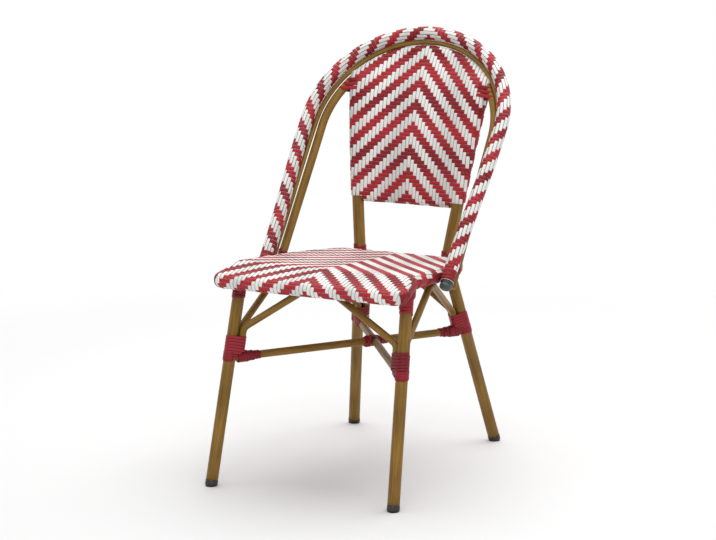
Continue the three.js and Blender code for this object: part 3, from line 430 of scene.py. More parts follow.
def ring_height(reach):
    """Height of the seat frame's centre line"""
    if reach > -SEAT_CREST_REACH:
        share = (reach + SEAT_CREST_REACH) / (REAR_KNEE.y + SEAT_CREST_REACH)
        return SEAT_CREST_HEIGHT + (SEAT_KNEE_HEIGHT - SEAT_CREST_HEIGHT) * share
    share = (-reach - SEAT_CREST_REACH) / (SEAT_FRONT_REACH - SEAT_CREST_REACH)
    return SEAT_CREST_HEIGHT + (SEAT_FRONT_HEIGHT - SEAT_CREST_HEIGHT) * share


def rail_point(reach):
    """Middle line of the seat's right-hand rail"""
    front = Vector((SEAT_FRONT_HALF_WIDTH, -SEAT_FRONT_REACH, 0))
    crest = Vector((SEAT_CREST_HALF_WIDTH, -SEAT_CREST_REACH, 0))
    side = Vector((SEAT_SIDE_HALF_WIDTH, SEAT_SIDE_BEND, 0))
    a, b = (front, crest) if reach < crest.y else (crest, side)
    point = a.lerp(b, (reach - a.y) / (b.y - a.y))
    return Vector((point.x, point.y, ring_height(reach)))


def hoop_lean(top, foot_reach):
    return atan2(top.y - foot_reach, top.z - ring_height(foot_reach))


def hoop_point(top, lean, spread, drop):
    return Vector((spread, top.y - drop * sin(lean), top.z - drop * cos(lean)))


def arch_point(top, lean, radius, angle):
    """A point of a hoop's round top, its angle counted from the right"""
    return hoop_point(top, lean, radius * cos(angle), radius * (1 - sin(angle)))


INNER_LEAN = hoop_lean(INNER_HOOP_TOP, INNER_HOOP_FOOT_REACH)
INNER_ARCH = (INNER_HOOP_TOP, INNER_LEAN, INNER_HOOP_RADIUS)
POST_TOP_ANGLE = acos(POST_TOP_SPREAD / INNER_HOOP_RADIUS)
POST_TOP = arch_point(*INNER_ARCH, POST_TOP_ANGLE)
POST_BEND = REAR_KNEE.lerp(POST_TOP, POST_BEND_SHARE) - Vector((0, POST_BEND_DEPTH, 0))


def seat_rear_reach():
    """The rear rail stands against the rounded front of the rear legs' knees"""
    down = (REAR_FOOT - REAR_KNEE).normalized()
    up = (POST_BEND - REAR_KNEE).normalized()
    rounded_back = (down + up).y * REAR_KNEE_TRIM / 4
    return REAR_KNEE.y + rounded_back - LEG_RADIUS - FIT_GAP - RING_RADIUS


SEAT_REAR_REACH = seat_rear_reach()


def seat_loop():
    """The seat ring's middle line, from the middle of the front round by the right"""
    front = [Vector((x, -SEAT_FRONT_REACH, SEAT_FRONT_HEIGHT)) for x in (0, SEAT_FRONT_HALF_WIDTH)]
    side = [rail_point(-SEAT_CREST_REACH), rail_point(SEAT_SIDE_BEND)]
    height = ring_height(SEAT_REAR_REACH)
    rear = [Vector((x, SEAT_REAR_REACH, height)) for x in (SEAT_REAR_HALF_WIDTH, 0)]
    right = rounded_route(front + side + rear, SEAT_TRIMS)
    return right + sided(right[-2:0:-1], -1)


def rear_leg_route():
    seam = along_to_height(REAR_FOOT, REAR_KNEE, GLIDE_SEAM_HEIGHT)
    post = bezier([REAR_KNEE, POST_BEND, POST_TOP], POST_STEPS)
    knee = rounded_route([seam, REAR_KNEE, post[POST_KNEE_STEP]], [REAR_KNEE_TRIM])
    return knee + post[POST_KNEE_STEP + 1 :]


SEAT_RING = seat_loop()
REAR_ROUTE = rear_leg_route()
FRONT_TOP = Vector((FRONT_TOP_SPREAD, -FRONT_TOP_REACH, ring_height(-FRONT_TOP_REACH)))


def leg_at(front, side, height):
    foot, top = (FRONT_FOOT, FRONT_TOP) if front else (REAR_FOOT, REAR_KNEE)
    return on_side(along_to_height(foot, top, height), side)


def front_leg_route():
    seam = along_to_height(FRONT_FOOT, FRONT_TOP, GLIDE_SEAM_HEIGHT)
    return straight(seam, along_to_height(seam, FRONT_TOP, FRONT_TOP.z - RING_RADIUS), LEG_STEPS)


# Hoops


def hoop_route(top, radius, foot_reach, end_drop, outside_radius):
    """A hoop's middle line: a half circle on top and legs that settle beside the seat's rails"""
    lean = hoop_lean(top, foot_reach)
    end = (top.z - (ring_height(foot_reach) - end_drop)) / cos(lean)
    foot = rail_point(foot_reach).x + SEAT_ROLL_RADIUS + FIT_GAP + outside_radius
    settle = (end - radius) * HOOP_SETTLE_SHARE
    corners = [(foot, end), (foot, end - settle), (radius, radius + settle), (radius, radius)]
    leg = bezier([hoop_point(top, lean, x, drop) for x, drop in corners], HOOP_LEG_STEPS)
    turns = [i / HOOP_ARCH_STEPS * pi for i in range(1, HOOP_ARCH_STEPS)]
    return leg + [arch_point(top, lean, radius, turn) for turn in turns] + sided(leg[::-1], -1)


OUTER_ROUTE = hoop_route(
    OUTER_HOOP_TOP, OUTER_HOOP_RADIUS, OUTER_HOOP_FOOT_REACH, OUTER_HOOP_END_DROP, SLEEVE_RADIUS
)
INNER_ROUTE = hoop_route(
    INNER_HOOP_TOP, INNER_HOOP_RADIUS, INNER_HOOP_FOOT_REACH, INNER_HOOP_END_DROP, INNER_HOOP_TUBE_RADIUS
)


def trim_rod_route():
    """The thin rod lies against the sleeve, on its side towards the inner hoop"""
    offset = SLEEVE_RADIUS + FIT_GAP + TRIM_ROD_RADIUS
    route = []
    for i, here in enumerate(OUTER_ROUTE):
        towards = square_to(run_at(OUTER_ROUTE, i), INNER_ROUTE[i] - here)
        route.append(here + towards * offset)
    end_height = ring_height(OUTER_HOOP_FOOT_REACH) + TRIM_ROD_END_RISE
    route[0] = along_to_height(route[0], route[1], end_height)
    route[-1] = on_side(route[0], -1)
    return route


# Bows


def bow_away(kind, front, side):
    """From a leg's middle line to that of the bow's end beside it"""
    run = (leg_at(front, side, BOW_END_HEIGHT) - leg_at(front, side, 0)).normalized()
    turn = radians(BOW_ANGLES[kind][front])
    away = Vector((-side * cos(turn), sin(turn) if front else -sin(turn), 0))
    return square_to(run, away) * (LEG_RADIUS + FIT_GAP + BOW_RADIUS)


def bow_route(kind, start, middle, end):
    """A bow from beside one leg, up and under the seat's frame, to beside the next leg"""
    uprights = []
    for front, side in (start, end):
        heights = (BOW_END_HEIGHT, BOW_END_HEIGHT + BOW_BEND_RISES[front])
        uprights.append([leg_at(front, side, h) + bow_away(kind, front, side) for h in heights])
    corners = uprights[0] + middle + uprights[1][::-1]
    return rounded_route(corners, [BOW_BEND_TRIM] * (len(corners) - 2))


def cross_bow_route(front, reach, rail_radius, flat_half):
    """A bow across the chair, under the bar or rail at a reach"""
    height = ring_height(reach) - rail_radius - FIT_GAP - BOW_RADIUS
    middle = [Vector((x, reach, height)) for x in (-flat_half, flat_half)]
    return bow_route("cross", (front, -1), middle, (front, 1))


def side_bow_route(side):
    """A bow along the chair, under the seat's side rail and a little inside it"""
    away = SEAT_ROLL_RADIUS + FIT_GAP + BOW_RADIUS
    drop = sqrt(away**2 - SIDE_BOW_INSET**2)
    rail = [rail_point(-reach) for reach in SIDE_BOW_REACHES]
    middle = [Vector((side * (p.x - SIDE_BOW_INSET), p.y, p.z - drop)) for p in rail]
    return bow_route("side", (FRONT, side), middle, (REAR, side))


# Mesh helpers


def add_object(name, data):
    thing = bpy.data.objects.new(name, data)
    bpy.context.scene.collection.objects.link(thing)
    return thing


def mesh_object(name, bm, material):
    mesh = bpy.data.meshes.new(name)
    bm.to_mesh(mesh)
    bm.free()
    mesh.materials.append(material)
    return add_object(name, mesh)


def new_piece(name, bm, material, replaced=()):
    """Closes a mesh, turns its faces outwards and puts it in place of the CAD nodes it replaces"""
    bmesh.ops.remove_doubles(bm, verts=bm.verts, dist=WELD_DISTANCE * MM)
    bmesh.ops.holes_fill(bm, edges=[e for e in bm.edges if e.is_boundary], sides=0)
    bmesh.ops.recalc_face_normals(bm, faces=bm.faces)
    piece = mesh_object(name, bm, material)
    piece.data.shade_smooth()
    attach(piece, "root")
    if replaced:
        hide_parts(*replaced)


def sweep(bm, frames, section, girth, tint_value=0.0):
    """A skin round a section of (side, lift) offsets at each frame, its UV in metres"""
    ways = ways_along([here for here, *_ in frames])
    columns, rows = len(frames) - 1, len(section)
    layer = bm.loops.layers.uv.verify()
    tint = bm.verts.layers.float.get("tint") or bm.verts.layers.float.new("tint")
    made = bmesh.ops.create_grid(bm, x_segments=columns, y_segments=rows, size=1)["verts"]
    where = {}
    for vert in made:
        column, row = (vert.co.x + 1) / 2 * columns, (vert.co.y + 1) / 2 * rows
        where[vert] = (round(column), round(row))
    for face in {face for vert in made for face in vert.link_faces}:
        for loop in face.loops:
            column, row = where[loop.vert]
            loop[layer].uv = (ways[column] * MM, row / rows * girth * MM)
    for vert, (column, row) in where.items():
        here, _, side, lift = frames[column]
        across, high = section[row % rows]
        vert.co = placed(here + side * across + lift * high)
        vert[tint] = tint_value


def strand_mesh(bm, stations, width, thickness, tint_value, closed=False):
    """A flat strand with rounded edges through stations of (point, lift direction)"""
    if len(stations) < 3:
        return
    route, lifts = zip(*stations)
    section = [(x * width / 2, y * thickness / 2) for x, y in STRAND_SECTION_SHARES]
    sweep(bm, frames_along(route, lifts, closed), section, 2 * width, tint_value)


# Weave sheets


class Sheet:
    """A woven surface that is flat in two coordinates and rolls round the tubes at its outline.

    The outline lists (a, b, front normal, roll radius); surface(a, b) gives the inside."""

    def __init__(self, outline, surface):
        self.surface = surface
        across, up, self.normals, self.radii = zip(*outline)
        self.flat = np.column_stack((across, up))
        self.edge = np.roll(self.flat, -1, axis=0) - self.flat
        self.edge_length = np.linalg.norm(self.edge, axis=1)

    def nearest(self, a, b):
        """Distance outside the outline, and the outline's foot, normal and radius there"""
        spot = np.array([a, b])
        along = ((spot - self.flat) * self.edge).sum(axis=1) / self.edge_length**2
        along = np.clip(along, 0, 1)
        feet = self.flat + self.edge * along[:, None]
        gaps = np.linalg.norm(feet - spot, axis=1)
        i = int(np.argmin(gaps))
        j = (i + 1) % len(self.radii)
        crossings = (self.flat[:, 1] > b) != (np.roll(self.flat, -1, axis=0)[:, 1] > b)
        steps = self.edge[:, 1] + (self.edge[:, 1] == 0)
        reach = self.flat[:, 0] + self.edge[:, 0] * (b - self.flat[:, 1]) / steps
        inside = bool(np.count_nonzero(crossings & (reach > a)) % 2)
        radius = self.radii[i] + (self.radii[j] - self.radii[i]) * along[i]
        normal = self.normals[i].lerp(self.normals[j], along[i]).normalized()
        return (-gaps[i] if inside else gaps[i]), feet[i], normal, radius

    def roll(self, a, b):
        """How far round its tube a flat spot lies, and how far that tube faces sideways"""
        gap, foot, _, radius = self.nearest(a, b)
        return gap / radius, abs(a - foot[0]) / max(abs(gap), radius * LEAST_GAP_SHARE)

    def point(self, a, b):
        gap, foot, normal, radius = self.nearest(a, b)
        if gap <= 0:
            return self.surface(a, b)
        away = square_to(normal, self.outwards(a - foot[0], b - foot[1], normal))
        centre = self.surface(*foot) - normal * radius
        return centre + swung(normal, away, gap / radius) * radius

    def station(self, a, b, lift):
        """A point of a strand, lifted off the sheet, with the sheet's normal there"""
        across = self.point(a + SHEET_STEP, b) - self.point(a - SHEET_STEP, b)
        up = self.point(a, b + SHEET_STEP) - self.point(a, b - SHEET_STEP)
        normal = across.cross(up).normalized()
        return self.point(a, b) + normal * lift, normal


def over(weft, warp):
    """True where the weft floats over the warp: a twill, mirrored at the middle warp"""
    return (weft + abs(warp)) % (2 * FLOAT) < FLOAT


def shade_of(k):
    """A strand's own share of light or dark, different from that of its neighbours"""
    return sin(k * SHADE_STRIDE) / 2 + 0.5


def split_runs(stations):
    """Parts of a strand between the places where it has to stop"""
    runs = [[]]
    for station in stations:
        if station:
            runs[-1].append(station)
        elif runs[-1]:
            runs.append([])
    return runs


class Weave:
    """A woven panel: its sheet, how its strands are spaced, and where they may lie"""

    def __init__(self, sheet, half_width, low, high, warp_pitch, weft_pitch, tip):
        self.sheet = sheet
        self.pitches = {"warps": warp_pitch, "wefts": weft_pitch}
        self.tip = tip
        outermost = ceil((half_width + ROLL_REACH) / warp_pitch)
        first = floor((low - ROLL_REACH - tip) / weft_pitch) + TIP_WEFT
        last = ceil((high + ROLL_REACH - tip) / weft_pitch) + TIP_WEFT
        self.counts = {"warps": range(-outermost, outermost + 1), "wefts": range(first, last)}

    def at(self, warp, weft):
        """Flat place of a crossing; TIP_WEFT is a chevron's tip"""
        return warp * self.pitches["warps"], self.tip + (weft - TIP_WEFT) * self.pitches["wefts"]

    def stations(self, kind, k):
        is_warp = kind == "warps"
        for m in self.counts["wefts" if is_warp else "warps"]:
            weft, warp = (m, k) if is_warp else (k, m)
            high = over(weft, warp) != is_warp
            for shift in (-CROSSING_SHARE, CROSSING_SHARE):
                spot = self.at(k, m + shift) if is_warp else self.at(m + shift, k)
                yield self.station(spot, high, is_warp)

    def station(self, spot, high, is_warp):
        angle, sideways = self.sheet.roll(*spot)
        if angle > self.roll_limit(spot, sideways, is_warp):
            return None
        station = self.sheet.station(*spot, STRAND_LIFT if high else -STRAND_LIFT)
        return None if self.blocked(station[0], angle) else station

    def blocked(self, here, angle):
        return False

    def build(self, name):
        for kind, material in (("warps", WHITE), ("wefts", RED)):
            bm = bmesh.new()
            width = self.pitches[kind] * STRAND_FILL_SHARE
            for k in self.counts[kind]:
                for run in split_runs(self.stations(kind, k)):
                    strand_mesh(bm, run, width, STRAND_THICKNESS, shade_of(k))
            new_piece(f"{name}_{kind}", bm, material, [f"{name}_weave"])


# Back sheet: its flat coordinates are x, and the way up its middle line


def front_normal(angle):
    """A direction to the front, tilted up by an angle"""
    return Vector((0, -1, tan(radians(angle)))).normalized()


RAIL_CORNER = at_height(REAR_ROUTE, BACK_RAIL_HEIGHT)
BACK_FACE = front_normal(BACK_FACE_ANGLE)
PROFILE_LOW = RAIL_CORNER.y + BACK_RAIL_BOW - RAIL_LAYER_RADIUS
PROFILE_HIGH = INNER_HOOP_TOP.y - ARCH_LAYER_RADIUS
PROFILE_RISE = INNER_HOOP_TOP.z - BACK_RAIL_HEIGHT


def back_profile(height):
    climb = height - BACK_RAIL_HEIGHT
    start = tan(radians(BACK_FOOT_ANGLE))
    rest = PROFILE_HIGH - PROFILE_LOW - start * PROFILE_RISE
    return PROFILE_LOW + start * climb + rest * (climb / PROFILE_RISE) ** 2


PROFILE_STEPS = np.hypot(1, np.diff([back_profile(h) for h in PROFILE_HEIGHTS]))
PROFILE_LENGTHS = np.concatenate([[0], np.cumsum(PROFILE_STEPS)])


def way_up(height):
    return float(np.interp(height, PROFILE_HEIGHTS, PROFILE_LENGTHS))


def height_at(way):
    return float(np.interp(way, PROFILE_LENGTHS, PROFILE_HEIGHTS))


def back_edge():
    """Right-hand edge of the back: points, front normals and roll radii, from the rail to the top"""
    edge = []
    post = [RAIL_CORNER] + [p for p in REAR_ROUTE if p.z > BACK_RAIL_HEIGHT]
    for i, here in enumerate(post):
        edge.append((here, square_to(run_at(post, i), BACK_FACE), POST_LAYER_RADIUS))
    for i in range(1, BACK_ARCH_STEPS + 1):
        angle = POST_TOP_ANGLE + (pi / 2 - POST_TOP_ANGLE) * i / BACK_ARCH_STEPS
        here = arch_point(*INNER_ARCH, angle)
        run = (arch_point(*INNER_ARCH, angle + BACK_ARCH_TURN) - here).normalized()
        edge.append((here, square_to(run, BACK_FACE), ARCH_LAYER_RADIUS))
    return edge


BACK_EDGE = back_edge()
BACK_FRONTS = [here + normal * radius for here, normal, radius in BACK_EDGE]


def eased_edge(values):
    """The edge's values at each whole height, eased where the post gives way to the hoop"""
    by_height = sorted(zip((p.z for p in BACK_FRONTS), values))
    at_heights = np.interp(PROFILE_HEIGHTS, *zip(*by_height))
    padded = np.pad(at_heights, EDGE_EASING, mode="edge")
    window = np.ones(2 * EDGE_EASING + 1)
    return np.convolve(padded, window / window.size, mode="valid")


EDGE_SPREADS = eased_edge([p.x for p in BACK_FRONTS])
EDGE_REACHES = eased_edge([p.y for p in BACK_FRONTS])


def back_surface(a, b):
    height = height_at(b)
    spread = max(float(np.interp(height, PROFILE_HEIGHTS, EDGE_SPREADS)), BACK_LEAST_SPREAD)
    edge_reach = float(np.interp(height, PROFILE_HEIGHTS, EDGE_REACHES))
    middle = back_profile(height)
    share = min(abs(a) / spread, 1.0)
    return Vector((a, middle + (edge_reach - middle) * share**2, height))


class BackSheet(Sheet):
    def outwards(self, a, b, normal):
        up = normal.cross(X_AXIS).normalized()
        return X_AXIS * a + (up if up.z > 0 else -up) * b


def back_outline():
    """The rail from left to right, the right-hand edge upwards and the left-hand one downwards"""
    right = [(p.x, way_up(p.z), n, r) for p, (_, n, r) in zip(BACK_FRONTS, BACK_EDGE)]
    left = [(-a, b, on_side(n, -1), r) for a, b, n, r in reversed(right[:-1])]
    inner = right[0][0] - POST_LAYER_RADIUS
    along = (right[0][1], front_normal(BACK_FOOT_ANGLE), RAIL_LAYER_RADIUS)
    return [(inner * share, *along) for share in BACK_RAIL_SHARES] + right + left


BACK_OUTLINE = back_outline()
BACK_BOTTOM = BACK_OUTLINE[0][1]
BACK_INNER_EDGE = RAIL_CORNER.x - POST_LAYER_RADIUS
POST_FRONTS = [f for f, edge in zip(BACK_FRONTS, BACK_EDGE) if edge[2] == POST_LAYER_RADIUS]
BACK_CORNER = (POST_FRONTS[-1].x, way_up(POST_FRONTS[-1].z))
POST_TOP_WAY = way_up(POST_TOP.z)

# Seat sheet: its flat coordinates are x and y

SEAT_MIDDLE = (SEAT_REAR_REACH - SEAT_FRONT_REACH) / 2
SEAT_HALF_DEPTH = (SEAT_REAR_REACH + SEAT_FRONT_REACH) / 2


def eased_ring_height(reach):
    """The seat frame's height with its crest eased, for the middle of the weave"""
    before = ring_height(reach - CREST_EASING)
    after = ring_height(reach + CREST_EASING)
    return (before + 2 * ring_height(reach) + after) / 4


def seat_outline():
    outline = []
    for i, here in enumerate(SEAT_RING):
        normal = square_to(run_at(SEAT_RING, i, True), Z_AXIS)
        outline.append((here.x, here.y, normal, RING_LAYER_RADIUS))
    return outline


def seat_surface(a, b):
    share = min(max(abs(b - SEAT_MIDDLE) / SEAT_HALF_DEPTH, abs(a) / SEAT_CREST_HALF_WIDTH), 1)
    height = eased_ring_height(b) * (1 - share**4) + ring_height(b) * share**4
    return Vector((a, b, height + RING_LAYER_RADIUS - SEAT_DISH * (1 - share**2)))


class SeatSheet(Sheet):
    def outwards(self, a, b, normal):
        return Vector((a, b, 0))


# Materials


def linear(code):
    """An sRGB hex colour as linear red, green, blue and alpha"""
    channels = []
    for i in (1, 3, 5):
        value = int(code[i : i + 2], 16) / 255
        channels.append(value / 12.92 if value <= 0.04045 else ((value + 0.055) / 1.055) ** 2.4)
    return (*channels, 1)


def add_node(material, kind, settings=None, links=None):
    """Adds a node; settings go to its sockets or properties, links to its inputs"""
    node = material.node_tree.nodes.new("ShaderNode" + kind)
    for key, value in (settings or {}).items():
        if isinstance(key, int) or key in node.inputs:
            node.inputs[key].default_value = value
        else:
            setattr(node, key, value)
    for key, source in (links or {}).items():
        material.node_tree.links.new(source, node.inputs[key])
    return node


def new_material(name, **settings):
    """A material and its shader, with settings such as Roughness on the shader's own sockets"""
    material = bpy.data.materials.new(name)
    material.use_nodes = True
    shader = material.node_tree.nodes["Principled BSDF"]
    for key, value in settings.items():
        shader.inputs[key.replace("_", " ")].default_value = value
    return material, shader


def grain(material, per_metre, detail, roughness):
    """Noise drawn out along a piece, so many grains to the metre along and round it"""
    uv = add_node(material, "UVMap")
    drawn_out = {"Scale": (*per_metre, 1)}
    place = add_node(material, "Mapping", drawn_out, {"Vector": uv.outputs[0]})
    settings = {"Scale": 1, "Detail": detail, "Roughness": roughness}
    return add_node(material, "TexNoise", settings, {"Vector": place.outputs[0]}).outputs[0]


def coat(material, shader, tone, steps, relief, strength, depth):
    """Colour steps laid over a tone, and a relief of a depth in millimetres"""
    ramp = add_node(material, "ValToRGB", links={0: tone})
    elements = ramp.color_ramp.elements
    while len(elements) < len(steps):
        elements.new(0.5)
    for element, (position, code) in zip(elements, steps):
        element.position = position
        element.color = linear(code)
    settings = {"Strength": strength, "Distance": depth * MM}
    bump = add_node(material, "Bump", settings, {"Height": relief})
    for source, socket in ((ramp, "Base Color"), (bump, "Normal")):
        material.node_tree.links.new(source.outputs[0], shader.inputs[socket])
    return material


def strand_material(name, dark, middle, light, roughness):
    """Extruded polyethylene strand: faintly ribbed along its length, with a soft plastic gloss"""
    gloss = {"Roughness": roughness, "IOR": PLASTIC_IOR, "Specular_IOR_Level": 0.3}
    material, shader = new_material(name, **gloss)
    tint = add_node(material, "Attribute", {"attribute_name": "tint"})
    ribs = grain(material, RIBS_PER_METRE, detail=2, roughness=0.5)
    mix = {"data_type": "FLOAT", "Factor": TINT_SHARE}
    tone = add_node(material, "Mix", mix, {2: ribs, 3: tint.outputs["Fac"]}).outputs[0]
    steps = [(0.2, dark), (0.5, middle), (0.8, light)]
    return coat(material, shader, tone, steps, ribs, strength=0.25, depth=0.1)


def tube_material():
    """Aluminium tube, stove-enamelled and brushed over with a bamboo glaze along its length"""
    gloss = {"Roughness": 0.4, "IOR": PLASTIC_IOR, "Specular_IOR_Level": 0.25}
    material, shader = new_material("bamboo_glazed_tube", **gloss)
    streaks = grain(material, STREAKS_PER_METRE, detail=4, roughness=0.6)
    clouds = grain(material, CLOUDS_PER_METRE, detail=3, roughness=0.5)
    mix = {"data_type": "FLOAT", "Factor": CLOUD_SHARE}
    tone = add_node(material, "Mix", mix, {2: streaks, 3: clouds}).outputs[0]
    steps = [(0.3, "#563C12"), (0.44, "#79581F"), (0.58, "#916D2B"), (0.72, "#A88445")]
    return coat(material, shader, tone, steps, streaks, strength=0.15, depth=0.05)


def plastic_material(name, dark, light, roughness, pebble_size):
    """Moulded plastic with the fine pebble of its mould"""
    material, shader = new_material(name, Roughness=roughness)
    coordinates = add_node(material, "TexCoord")
    settings = {"Scale": 1 / (pebble_size * MM), "Detail": 2}
    links = {"Vector": coordinates.outputs["Object"]}
    pebble = add_node(material, "TexNoise", settings, links).outputs[0]
    steps = [(0.35, dark), (0.65, light)]
    return coat(material, shader, pebble, steps, pebble, strength=0.2, depth=0.08)


TUBE = tube_material()
RED = strand_material("red_polyethylene_strand", "#7A0E18", "#9A1722", "#B2242F", 0.5)
WHITE = strand_material("white_polyethylene_strand", "#D2D4D0", "#E6E6E2", "#F2F1EE", 0.5)
LASHING = strand_material("dark_red_lashing_strand", "#700E19", "#8A1824", "#9E2631", 0.45)
GLIDE = plastic_material("moulded_nylon_glide", "#171614", "#262420", 0.45, 1.5)
TACK = plastic_material("blackened_steel_tack", "#1A1613", "#2A241F", 0.4, 1)
PLUG = plastic_material("moulded_grey_green_plug", "#34403B", "#46524C", 0.42, 1.5)

# Tubes


def build_tube(name, route, radius, up, sides=THICK_TUBE_SIDES, closed=False):
    angles = [i / sides * tau for i in range(sides)]
    section = [(cos(angle) * radius, sin(angle) * radius) for angle in angles]
    bm = bmesh.new()
    sweep(bm, frames_along(route, repeat(up), closed), section, tau * radius)
    new_piece(name + "_finish", bm, TUBE, [name])


def bar_route(name):
    """Middle line of a straight bar under the seat, between the ends of its CAD node"""
    low, high = (Vector(corner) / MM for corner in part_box(name))
    middle = (low + high) / 2 - Y_AXIS * DEPTH_SHIFT
    left, right = (Vector((x, middle.y, middle.z)) for x in (low.x, high.x))
    return straight(left, right, BAR_STEPS)


def build_tubes():
    build_tube("seat_ring", SEAT_RING, RING_RADIUS, Z_AXIS, closed=True)
    for word, side in SIDES.items():
        build_tube(f"front_leg_{word}", sided(front_leg_route(), side), LEG_RADIUS, Y_AXIS)
        build_tube(f"rear_leg_{word}", sided(REAR_ROUTE, side), LEG_RADIUS, Y_AXIS)
    build_tube("outer_hoop", OUTER_ROUTE, HOOP_CORE_RADIUS, HOOP_FRONT, SLIM_TUBE_SIDES)
    build_tube("inner_hoop", INNER_ROUTE, INNER_HOOP_TUBE_RADIUS, HOOP_FRONT)
    for name in ("seat_front_bar", "seat_middle_bar"):
        build_tube(name, bar_route(name), SEAT_BAR_RADIUS, Z_AXIS, THIN_TUBE_SIDES)
    rail_middle = Vector((0, RAIL_CORNER.y + 2 * BACK_RAIL_BOW, RAIL_CORNER.z))
    rail = bezier([on_side(RAIL_CORNER, -1), rail_middle, RAIL_CORNER], RAIL_STEPS)
    build_tube("back_rail", rail, BACK_RAIL_RADIUS, Z_AXIS, THIN_TUBE_SIDES)
    build_tube("trim_rod", trim_rod_route(), TRIM_ROD_RADIUS, HOOP_FRONT, SLIM_TUBE_SIDES)
    front = cross_bow_route(FRONT, -FRONT_BAR_REACH, SEAT_BAR_RADIUS, FRONT_BOW_FLAT_HALF)
    rear = cross_bow_route(REAR, SEAT_REAR_REACH, SEAT_ROLL_RADIUS, REAR_BOW_FLAT_HALF)
    build_tube("front_bow", front, BOW_RADIUS, Y_AXIS, THIN_TUBE_SIDES)
    build_tube("rear_bow", rear, BOW_RADIUS, Y_AXIS, THIN_TUBE_SIDES)
    for word, side in SIDES.items():
        build_tube(f"{word}_bow", side_bow_route(side), BOW_RADIUS, X_AXIS, THIN_TUBE_SIDES)


ENDS = {name: leg_at(*corner, STRETCHER_HEIGHT) for name, corner in CORNERS.items()}
CROSSING = ENDS["front_left"].lerp(
    ENDS["rear_right"],
    ENDS["front_left"].x / (ENDS["front_left"].x - ENDS["rear_right"].x),
)


def build_stretcher(name, a, b, into_a, into_b):
    """A stretcher that reaches a little way into what holds it at each end"""
    run = (b - a).normalized()
    route = straight(a + run * into_a, b - run * into_b, STRETCHER_STEPS)
    build_tube(f"stretcher_{name}", route, STRETCHER_RADIUS, Z_AXIS, THIN_TUBE_SIDES)


def build_stretchers():
    leg = LEG_RADIUS * LEG_HOLD_SHARE
    tube = STRETCHER_RADIUS * CROSSING_HOLD_SHARE
    build_stretcher("through", ENDS["front_left"], ENDS["rear_right"], leg, leg)
    build_stretcher("front_half", ENDS["front_right"], CROSSING, leg, tube)
    build_stretcher("rear_half", CROSSING, ENDS["rear_left"], tube, leg)


# Weave pieces


class BackWeave(Weave):
    def roll_limit(self, spot, sideways, is_warp):
        a, b = spot
        beside, above = abs(a) - BACK_CORNER[0], b - BACK_CORNER[1]
        if 0 < above < beside * CORNER_FAN:
            return CORNER_LIMIT
        if b <= BACK_BOTTOM:
            return POST_FOOT_LIMIT if abs(a) > BACK_INNER_EDGE else WRAP_LIMIT
        at_post = is_warp and sideways > SIDEWAYS_SHARE and b < POST_TOP_WAY
        return SIDE_WARP_LIMIT if at_post else WRAP_LIMIT


def build_back():
    sheet = BackSheet(BACK_OUTLINE, back_surface)
    span = (POST_TOP_SPREAD, BACK_BOTTOM, way_up(INNER_HOOP_TOP.z))
    BackWeave(sheet, *span, BACK_WARP_PITCH, BACK_WEFT_PITCH, way_up(BACK_TIP_HEIGHT)).build("back")


def bundle_station(here, run, facing, angle, tubes, lift):
    """A strand's place on the outside of a bundle of (place, radius) tubes, and its lift direction"""
    flat = square_to(run, facing)
    toward = swung(flat, run.cross(flat), angle)
    away, radius = max(tubes, key=lambda tube: tube[0].dot(toward) + tube[1])
    return here + (away + toward * (radius + lift)), toward


def build_corner_wefts():
    """The back's three wefts that reach past each post's top and round the inner hoop as well"""
    bm = bmesh.new()
    width = BACK_WEFT_PITCH * STRAND_FILL_SHARE
    post_radius = LEG_RADIUS + FIT_GAP + WEAVE_THICKNESS
    hoop_radius = INNER_HOOP_TUBE_RADIUS + FIT_GAP
    turns = [i / TURN_STEPS * tau for i in range(TURN_STEPS)]
    for side in SIDES.values():
        post = [p for p in sided(REAR_ROUTE, side) if p.z > BACK_RAIL_HEIGHT]
        for i in range(CORNER_WEFTS):
            height = POST_TOP.z - CORNER_WEFT_DROP - i * BACK_WEFT_PITCH
            here = at_height(post, height)
            run = (at_height(post, height + BACK_WEFT_PITCH) - here).normalized()
            away = at_height(sided(INNER_ROUTE, side), height) - here
            away -= run * away.dot(run)
            tubes = [(Vector(), post_radius), (away, hoop_radius)]
            stations = [bundle_station(here, run, X_AXIS * side, t, tubes, 0) for t in turns]
            strand_mesh(bm, stations, width, STRAND_THICKNESS, i / CORNER_WEFTS, True)
    new_piece("back_corner_wefts", bm, RED)


class SeatWeave(Weave):
    def roll_limit(self, spot, sideways, is_warp):
        return SIDE_WARP_LIMIT if is_warp and sideways > SIDEWAYS_SHARE else WRAP_LIMIT

    def blocked(self, here, angle):
        """The weave is cut round the legs where they stand against the ring"""
        if angle < LEG_CUT_START:
            return False
        here = on_side(here, 1 if here.x > 0 else -1)
        for foot, top in ((FRONT_FOOT, FRONT_TOP), (REAR_FOOT, REAR_KNEE), (REAR_KNEE, POST_BEND)):
            run = (top - foot).normalized()
            away = here - foot
            if (away - run * away.dot(run)).length < LEG_RADIUS + LEG_CUT_GAP:
                return True
        return False


def build_seat():
    sheet = SeatSheet(seat_outline(), seat_surface)
    span = (SEAT_FRONT_HALF_WIDTH, -SEAT_FRONT_REACH, SEAT_REAR_REACH)
    SeatWeave(sheet, *span, SEAT_WARP_PITCH, SEAT_WEFT_PITCH, SEAT_TIP_REACH).build("seat")


# Sleeve

SLEEVE_FRAMES = frames_along(OUTER_ROUTE, repeat(HOOP_FRONT))
SLEEVE_WAYS = ways_along(OUTER_ROUTE)
SLEEVE_HALF = SLEEVE_WAYS[-1] / 2


